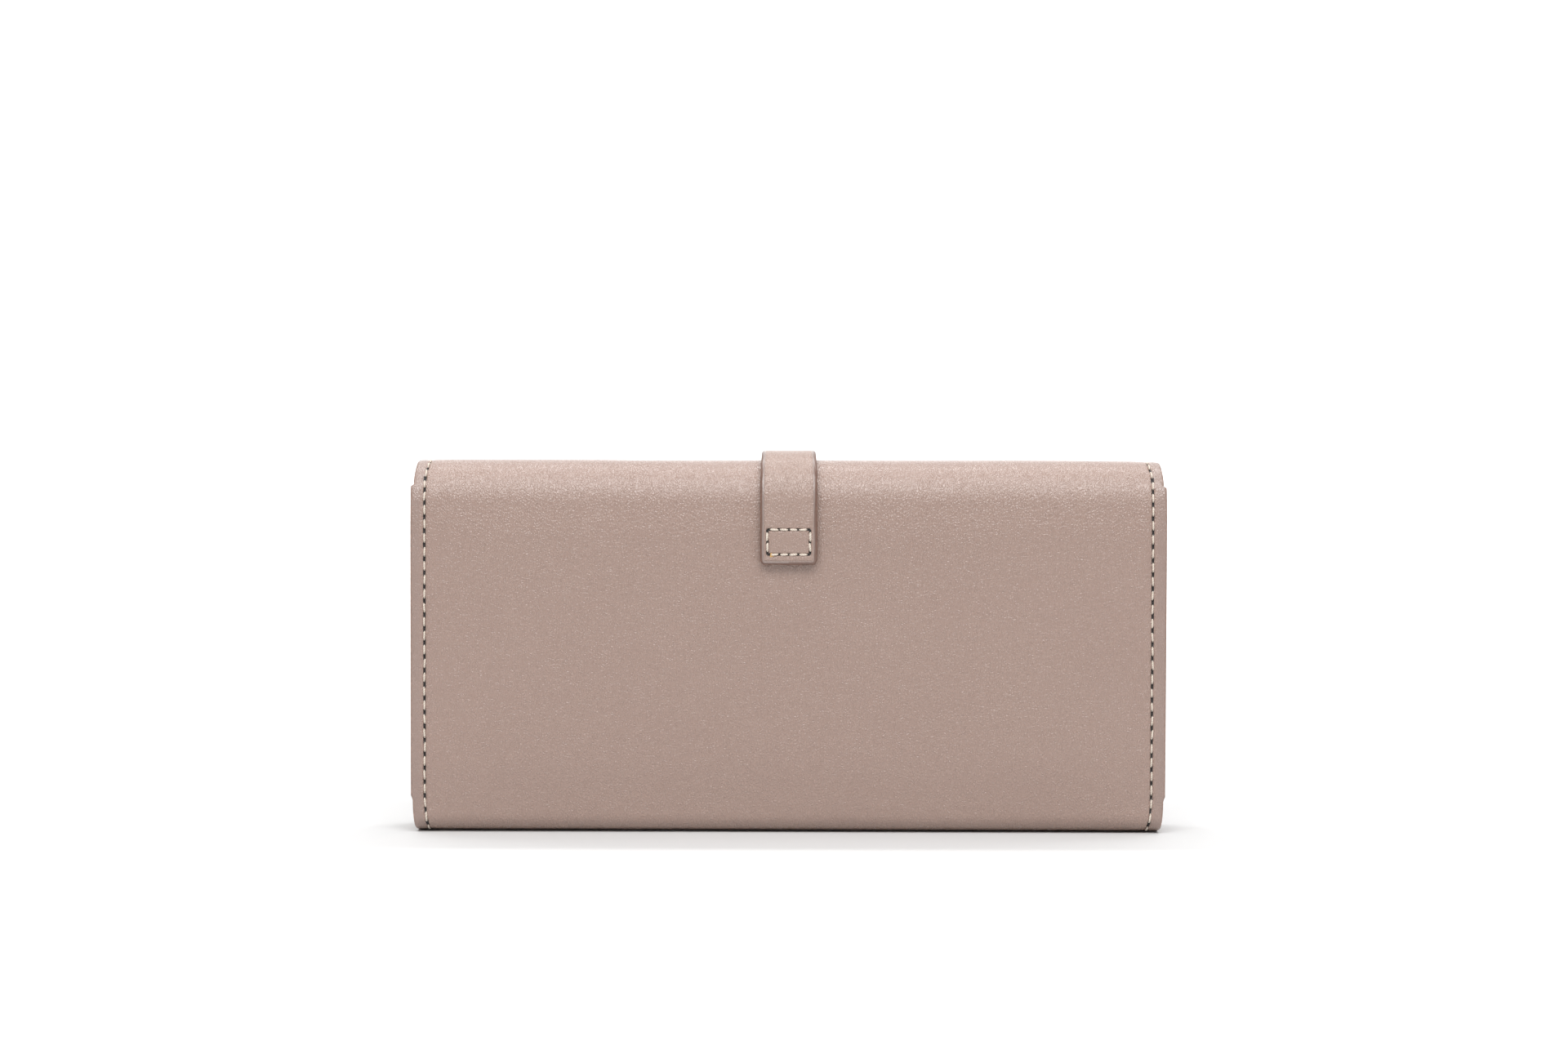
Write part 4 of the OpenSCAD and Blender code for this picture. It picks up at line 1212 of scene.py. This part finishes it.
WALL_EDGE, WALL_CREASE, WALL_BOW = 0.2 * mm, 3.6 * mm, 0.25 * mm
WALL_COLUMNS = (44, (0.0, 0.8 * mm, 2 * mm))
WALL_SEAM_IN, WALL_SEAM_DOWN = 2.5 * mm, 2.0 * mm
SLAB_EDGE = 0.15 * mm
wall = (inner_leather, leaf_edge, lining_cloth)
for name, node, faces_front in (
    ("coin_pocket_rear_wall", "coin_wall_rear", False),
    ("coin_pocket_front_wall", "coin_wall_front", True),
):
    piece = upright(name, node, faces_front, wall, 0.0, WALL_CREASE, WALL_EDGE, WALL_BOW, WALL_COLUMNS)
    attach(piece, "coin_pocket")
    low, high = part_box(node)
    tall, reach = high.z - low.z, high.x - WALL_SEAM_IN
    face = Route(high.y, high.z, -90) if faces_front else Route(low.y, low.z, 90)
    face.go(tall)
    down = WALL_SEAM_DOWN if faces_front else tall - WALL_SEAM_DOWN
    seam_line(f"{name}_seam", face, (-reach, down), (reach, down), 0.0, "coin_pocket", 31)


def slab_piece(name, node, axis, faces_up_axis):
    """A flat strip with its thin way along axis, x or z. Its outer face looks up that axis or
    down it."""
    low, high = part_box(node)
    a, b = (1, 2) if axis == 0 else (0, 1)
    u = np.linspace(low[a] + SLAB_EDGE, high[a] - SLAB_EDGE, 10 if axis == 0 else 60)
    v = np.linspace(low[b] + SLAB_EDGE, high[b] - SLAB_EDGE, 60 if axis == 0 else 10)
    grid = np.zeros((len(v), len(u), 3))
    grid[..., a], grid[..., b] = u[None, :], v[:, None]
    outer, inner = grid.copy(), grid.copy()
    outer[..., axis] = high[axis] if faces_up_axis else low[axis]
    inner[..., axis] = low[axis] if faces_up_axis else high[axis]
    flat = np.stack([grid[..., a], grid[..., b], np.zeros(grid.shape[:2])], -1)
    piece = dressed(closed_sheet(name, outer, inner, flat, SLAB_EDGE), *wall)
    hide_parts(node)
    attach(piece, "coin_pocket")


slab_piece("coin_pocket_left_side", "coin_side_left", 0, False)
slab_piece("coin_pocket_right_side", "coin_side_right", 0, True)
slab_piece("coin_pocket_base", "coin_bottom", 2, False)

# ---- Zip ----
# A size-three metal zip along the top of the coin pocket. Two woven tapes carry the teeth, which
# are clenched over a corded edge, and a stop closes each end.

TAPE_PALE, TAPE_DEEP = (0.155, 0.105, 0.083), (0.078, 0.050, 0.040)
METAL = (0.80, 0.60, 0.36)
zip_cloth = twill("zip_tape_cloth", TAPE_PALE, TAPE_DEEP, 0.32 * mm)


def polished_metal(name, tone, rough=0.24, on_frame=False):
    """Light gold plate, brushed one way, with a few hairline scratches and duller low spots."""
    material, shader, place = new_finish(name, on_frame)
    drawn = shader.make("ShaderNodeMapping", {}, {"Vector": place, "Scale": (0.12, 1.0, 1.0)})
    brush = shader.noise(drawn, 1 / (0.16 * mm), 3.0, 0.6)
    dull = shader.noise(place, 1 / (2.2 * mm), 3.0, 0.6)
    scratch = shader.noise(place, 1 / (0.9 * mm), 4.0, 0.7).between(0.62, 0.68)
    worn = tuple(0.72 * c for c in tone)
    colour = (dull * 0.8).mix((*tone, 1), (*worn, 1))
    finish_with(shader, colour, rough + dull * 0.16 + scratch * 0.1, brush, 0.12, 0.03 * mm, metal=1.0)
    return material


gold = polished_metal("light_gold", METAL)


def band(a, b, count):
    """Faces between two rings of count points, whose first points are a and b."""
    return [(a + j, a + (j + 1) % count, b + (j + 1) % count, b + j) for j in range(count)]


class Parts:
    """Closed shells gathered into one mesh."""

    def __init__(self):
        self.points, self.faces = [], []

    def add(self, points, faces):
        start = len(self.points)
        self.points += [tuple(float(v) for v in p) for p in points]
        self.faces += [tuple(start + i for i in face) for face in faces]

    def prism(self, outline, low, high, bevel, place):
        """An outline in its own plane raised from low to high, with rounded rims. place turns
        (u, v, w) into a point of the object."""
        work = bmesh.new()
        ring = [work.verts.new((u, v, low)) for u, v in outline]
        face = work.faces.new(ring)
        raised = bmesh.ops.extrude_face_region(work, geom=[face])["geom"]
        lifted = [v for v in raised if isinstance(v, bmesh.types.BMVert)]
        bmesh.ops.translate(work, verts=lifted, vec=(0, 0, high - low))
        bmesh.ops.recalc_face_normals(work, faces=work.faces)
        rims = [e for e in work.edges if abs(e.verts[0].co.z - e.verts[1].co.z) < 1e-9]
        if bevel:
            bmesh.ops.bevel(work, geom=rims, offset=bevel, segments=2, profile=0.6, affect="EDGES")
        work.verts.index_update()
        faces = [[v.index for v in f.verts] for f in work.faces]
        self.add([place(*v.co) for v in work.verts], faces)
        work.free()

    def lathe(self, profile, place, around=48):
        """(radius, height) points turned about the axis w. The first and the last lie on it."""
        angle = np.linspace(0, 2 * math.pi, around, endpoint=False)
        points = [place(0, 0, profile[0][1])]
        for r, w in profile[1:-1]:
            points += [place(r * math.cos(a), r * math.sin(a), w) for a in angle]
        points.append(place(0, 0, profile[-1][1]))
        last, rings = len(points) - 1, len(profile) - 2
        faces = [(0, 1 + (j + 1) % around, 1 + j) for j in range(around)]
        for i in range(rings - 1):
            a, b = 1 + i * around, 1 + (i + 1) * around
            faces += band(a, b, around)
        end = 1 + (rings - 1) * around
        faces += [(last, end + j, end + (j + 1) % around) for j in range(around)]
        self.add(points, faces)

    def made(self, name, material):
        """The mesh object, with each point's rest place as its place on the material."""
        thing = solid_mesh(name, self.points, self.faces, self.points)
        thing.data.set_sharp_from_angle(angle=math.radians(35))
        return dressed(thing, material)


def rounded_rect(width, height, radius):
    """The outline of a rectangle with rounded corners, about its middle."""
    points = []
    for cx, cy, start in ((1, 1, 0), (-1, 1, 90), (-1, -1, 180), (1, -1, 270)):
        for a in np.radians(start + np.linspace(0, 90, 5)):
            points.append((
                cx * (width / 2 - radius) + radius * math.cos(a),
                cy * (height / 2 - radius) + radius * math.sin(a),
            ))
    return points


CORD, CORD_WIDE, CORD_IN = 0.16 * mm, 0.28 * mm, 0.3 * mm
TOOTH_PITCH, TOOTH_WIDTH = 2.0 * mm, 1.1 * mm
waist = [(-0.42, -0.6), (0.42, -0.6), (0.55, -0.1), (0.5, 0.35)]
waist += [(0.3, 0.6), (-0.3, 0.6), (-0.5, 0.35), (-0.55, -0.1)]
tooth_outline = [(u * mm, v * mm) for u, v in waist]
for which, inwards in (("rear", 1), ("front", -1)):
    node = f"zip_tape_{which}"
    low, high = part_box(node)
    width = high.y - low.y
    across_tape = Route(low.y, high.z, 0)
    across_tape.go(width)

    def cord(x, s, width=width, inwards=inwards):
        """The tape's inner edge is woven over a cord."""
        inner = width - s if inwards > 0 else s
        return CORD * np.exp(-((inner - CORD_IN) / CORD_WIDE) ** 2)

    tape = strip(
        f"zip_{which}_tape", across_tape, 0.0, width, 0.0, high.z - low.z, high.x, 22, (120, (0.0,)),
        relief=cord, rim=0.12 * mm,
    )
    dressed(tape, zip_cloth, zip_cloth, zip_cloth)
    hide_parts(node)
    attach(tape, "coin_pocket")

    node = f"zip_teeth_{which}"
    low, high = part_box(node)
    count = round((high.x - low.x - TOOTH_WIDTH) / TOOTH_PITCH) + 1
    pitch = (high.x - low.x - TOOTH_WIDTH) / (count - 1)
    teeth = Parts()
    for k in range(count):
        x0, y0, z0 = low.x + TOOTH_WIDTH / 2 + k * pitch, (low.y + high.y) / 2, low.z

        def stand(u, v, w, x0=x0, y0=y0, z0=z0, inwards=inwards):
            return (x0 + u, y0 + inwards * v, z0 + w)

        teeth.prism(tooth_outline, 0.0, high.z - low.z, 0.16 * mm, stand)
    row = teeth.made(f"zip_{which}_teeth", gold)
    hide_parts(node)
    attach(row, "coin_pocket")

for side in ("left", "right"):
    node = f"zip_stop_{side}"
    low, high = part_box(node)
    middle = (low + high) / 2
    clip = Parts()
    clip.prism(
        rounded_rect(high.x - low.x, high.y - low.y, 0.35 * mm), low.z, high.z, 0.3 * mm,
        lambda u, v, w, m=middle: (m.x + u, m.y + v, w),
    )
    stop = clip.made(f"zip_{side}_stop", gold)
    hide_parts(node)
    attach(stop, "coin_pocket")

# ---- Slider and puller ----
# Both are cast and plated. The slider has two plates joined by a post, which flare towards its
# mouth, and two ears. The puller is a flat tongue with a raised border, and turns on the pin
# between the ears.

slider_low, slider_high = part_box("zip_slider")
pull_low, pull_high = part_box("zip_pull")
SLIDER_LENGTH, SLIDER_WIDTH = slider_high.x - slider_low.x, slider_high.y - slider_low.y
UNDER_WIDTH = SLIDER_WIDTH - 1.4 * mm
EAR, EAR_GAP = 0.7 * mm, 0.1 * mm
EYE_WIDTH, EYE_RADIUS = 2.2 * mm, 1.15 * mm
PIN_RADIUS, PIN_END, PIN_PLAY = 0.55 * mm, 0.12 * mm, 0.07 * mm
PLATE, POST_LENGTH, POST_WIDTH = 0.8 * mm, 3.0 * mm, 0.4 * mm
LIP, LIP_DROP, LIP_IN = 0.5 * mm, 0.75 * mm, 0.45 * mm
pin_x = pull_high.x - EYE_RADIUS
pin_y = (slider_low.y + slider_high.y) / 2
pin_z = slider_high.z - EYE_RADIUS
plate_z = pin_z - EYE_RADIUS - 0.15 * mm - PLATE
under_top = slider_low.z + PLATE


def flared(length, mouth, tail, radius):
    """The slider's plan: wide at its mouth, waisted, and narrow at its tail."""
    half = length / 2
    turn = [(radius * math.sin(a), radius * (1 - math.cos(a))) for a in np.radians((30, 60, 90))]
    points = [(-half + radius, -tail / 2), (-half * 0.2, -tail / 2 - 0.05 * (mouth - tail))]
    points += [(half - radius, -mouth / 2)]
    points += [(half - radius + out, -mouth / 2 + up) for out, up in turn]
    points += [(u, -v) for u, v in reversed(points)]
    points += [(-half + radius - out, tail / 2 - up) for out, up in turn]
    points += [(-half + radius - out, -tail / 2 + up) for out, up in reversed(turn)]
    return points


def over_pin(u, v, w):
    """(u, v) is the plan about the pin's middle and w is the height."""
    return (pin_x + u, pin_y + v, w)


def along_pin(u, v, w):
    """(u, v) is the plane across the pin and w runs along it."""
    return (pin_x + u, pin_y + w, pin_z + v)


body = Parts()
top_plate = flared(SLIDER_LENGTH, SLIDER_WIDTH, SLIDER_WIDTH - 0.9 * mm, 1.1 * mm)
body.prism(top_plate, plate_z, plate_z + PLATE, 0.25 * mm, over_pin)
under_plate = flared(SLIDER_LENGTH, UNDER_WIDTH, UNDER_WIDTH - 0.7 * mm, 1.0 * mm)
body.prism(under_plate, slider_low.z, under_top, 0.22 * mm, over_pin)
post = rounded_rect(POST_LENGTH, POST_WIDTH, 0.15 * mm)
body.prism(post, under_top - 0.1 * mm, plate_z + 0.1 * mm, 0.0, over_pin)
lip = rounded_rect(SLIDER_LENGTH - 2.4 * mm, LIP, 0.2 * mm)
ear_foot = plate_z + 0.3 * mm - pin_z
ear = [(-EYE_RADIUS * 1.25, ear_foot), (EYE_RADIUS * 1.25, ear_foot)]
ear += [(EYE_RADIUS * math.cos(a), EYE_RADIUS * math.sin(a)) for a in np.linspace(0, math.pi, 13)]
for side in (-1, 1):
    lip_y = side * (SLIDER_WIDTH / 2 - LIP_IN - LIP / 2)
    body.prism(
        lip, plate_z - LIP_DROP, plate_z + 0.2 * mm, 0.12 * mm,
        lambda u, v, w, lip_y=lip_y: over_pin(u, lip_y + v, w),
    )
    ear_y = side * (EYE_WIDTH / 2 + EAR_GAP + EAR / 2)
    body.prism(ear, ear_y - EAR / 2, ear_y + EAR / 2, 0.14 * mm, along_pin)
reach = EYE_WIDTH / 2 + EAR_GAP + EAR + 0.06 * mm
pin_half = [(PIN_RADIUS, reach - PIN_END), (PIN_RADIUS * 0.7, reach), (0, reach)]
body.lathe([(r, -w) for r, w in reversed(pin_half)] + pin_half, along_pin, 24)
slider = body.made("zip_slider_body", gold)
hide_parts("zip_slider")
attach(slider, "zip_slider")

PULL_LENGTH, PULL_WIDTH = pull_high.x - pull_low.x - EYE_RADIUS, pull_high.y - pull_low.y
PULL_THICK, PULL_BORDER, RIM_BEVEL = 1.0 * mm, 0.75 * mm, 0.15 * mm
NECK_END = EYE_RADIUS + 1.5 * mm
puller = Parts()


def tongue(inset):
    """The puller's outline from its neck to its round end, drawn in by inset."""
    half, tip = PULL_WIDTH / 2 - inset, PULL_LENGTH - PULL_WIDTH / 2
    points = [(-NECK_END - inset, half - 0.4 * mm), (-NECK_END - 0.6 * mm - inset, half)]
    turn = np.linspace(math.pi / 2, 1.5 * math.pi, 21)
    points += [(-tip + half * math.cos(a), half * math.sin(a)) for a in turn]
    return points + [(u, -v) for u, v in reversed(points[:2])]


def flat_of_pull(u, v, w):
    """(u, v) is the flat of the puller and w runs through it."""
    return (pin_x + u, pin_y + v, pin_z + w)


def ring_band(outer, inner, low, high, place, into):
    """A closed band between two like outlines, with its rims rounded."""
    count = len(outer)
    near_outer, near_inner = ((1 - t) * np.array(outer) + t * np.array(inner) for t in (0.18, 0.82))
    rings = [
        (outer, low + RIM_BEVEL), (outer, high - RIM_BEVEL), (near_outer, high), (near_inner, high),
        (inner, high - RIM_BEVEL), (inner, low + RIM_BEVEL), (near_inner, low), (near_outer, low),
    ]
    points = [place(u, v, w) for ring, w in rings for u, v in ring]
    faces = []
    for i in range(len(rings)):
        faces += band(i * count, (i + 1) % len(rings) * count, count)
    into.add(points, faces)


def circle(radius):
    turn = np.linspace(0, 2 * math.pi, 32, endpoint=False)
    return [(radius * math.cos(a), radius * math.sin(a)) for a in turn]


ring_band(tongue(0.0), tongue(PULL_BORDER), -PULL_THICK / 2, PULL_THICK / 2, flat_of_pull, puller)
puller.prism(tongue(0.5 * mm), -PULL_THICK * 0.28, PULL_THICK * 0.28, 0.0, flat_of_pull)
neck_ends = (-NECK_END - 0.5 * mm, -EYE_RADIUS * 0.75)
neck = [(u, -EYE_WIDTH / 2) for u in neck_ends] + [(u, EYE_WIDTH / 2) for u in reversed(neck_ends)]
puller.prism(neck, -PULL_THICK / 2, PULL_THICK / 2, 0.18 * mm, flat_of_pull)
eye_outer, eye_inner = circle(EYE_RADIUS), circle(PIN_RADIUS + PIN_PLAY)
ring_band(eye_outer, eye_inner, -EYE_WIDTH / 2, EYE_WIDTH / 2, along_pin, puller)
pull = puller.made("zip_puller", gold)
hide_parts("zip_pull")
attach(pull, "zip_pull")

# ---- Press stud ----
# The strap buttons low on the front. A domed cap is riveted through the strap to a spring socket
# behind it, and the socket snaps over a stud on the front panel.

snap_gold = polished_metal("snap_gold", METAL, 0.2)
cap_low, cap_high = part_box("snap_cap")
CAP_RADIUS = (cap_high.x - cap_low.x) / 2
snap_z = (cap_low.z + cap_high.z) / 2
CAP_FOOT = strap_outer
CAP_HEIGHT = cap_high.y - CAP_FOOT


def facing_front(y):
    """Lathe heights run outwards from y."""
    return lambda u, v, w: (u, y + w, snap_z + v)


cap_profile = [(0, CAP_HEIGHT)]
cap_profile += [
    (CAP_RADIUS * math.sin(a), CAP_HEIGHT * (0.28 + 0.72 * math.cos(a)))
    for a in np.linspace(0.0, 1.35, 12)[1:]
]
cap_profile += [
    (CAP_RADIUS * (0.985 + 0.015 * math.cos(a)), CAP_HEIGHT * (0.2 + 0.2 * math.sin(a)))
    for a in np.linspace(1.2, -1.2, 6)
]
cap_profile += [(CAP_RADIUS * 0.93, 0.0), (0, 0.0)]
cap = Parts()
cap.lathe(cap_profile, facing_front(CAP_FOOT), 72)
snap_cap = cap.made("snap_domed_cap", snap_gold)
socket_low, socket_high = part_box("snap_socket")
SOCKET_RADIUS, SOCKET_DEPTH = (socket_high.x - socket_low.x) / 2, socket_high.y - socket_low.y
SOCKET_HOLE, SOCKET_FLOOR = 2.3 * mm, 0.25 * mm
socket_profile = [(0, 0.0), (SOCKET_RADIUS * 0.97, 0.0), (SOCKET_RADIUS, -0.3 * mm)]
socket_profile += [
    (SOCKET_RADIUS * across_share, -SOCKET_DEPTH * down_share)
    for across_share, down_share in ((1.0, 0.55), (0.94, 0.72), (0.72, 0.66), (0.62, 0.9), (0.55, 1.0))
]
socket_profile += [(SOCKET_HOLE * 1.05, -SOCKET_DEPTH), (SOCKET_HOLE, -SOCKET_DEPTH * 0.9)]
socket_profile += [(SOCKET_HOLE, -SOCKET_FLOOR), (0, -SOCKET_FLOOR)]
socket = Parts()
socket.lathe(socket_profile, facing_front(socket_high.y), 64)
snap_socket = socket.made("snap_spring_socket", snap_gold)
stud_low, stud_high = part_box("snap_stud")
FLANGE_RADIUS, STUD_HEIGHT = (stud_high.x - stud_low.x) / 2, stud_high.y - stud_low.y
POST = 1.9 * mm
FLANGE_STEPS = ((0.985, 0.0), (1.0, 0.12), (0.985, 0.3), (0.9, 0.46), (0.72, 0.4))
POST_STEPS = ((1.12, 0.42), (0.86, 0.7), (0.84, 1.1), (0.98, 1.5), (1.0, 1.75), (0.9, 2.02))
stud_profile = [(0, 0.0)]
stud_profile += [(FLANGE_RADIUS * share, height * mm) for share, height in FLANGE_STEPS]
stud_profile += [(POST * share, height * mm) for share, height in POST_STEPS]
stud_profile += [(POST * 0.6, STUD_HEIGHT - 0.05 * mm), (0, STUD_HEIGHT)]
stud = Parts()
stud.lathe(stud_profile, facing_front(stud_low.y), 64)
snap_post = stud.made("snap_post", snap_gold)
for piece, node, rides in (
    (snap_cap, "snap_cap", "strap"),
    (snap_socket, "snap_socket", "strap"),
    (snap_post, "snap_stud", "front_panel"),
):
    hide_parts(node)
    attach(piece, rides)
refinish("snap_stud_rivet", polished_metal("rivet_gold", METAL, 0.3, on_frame=True))
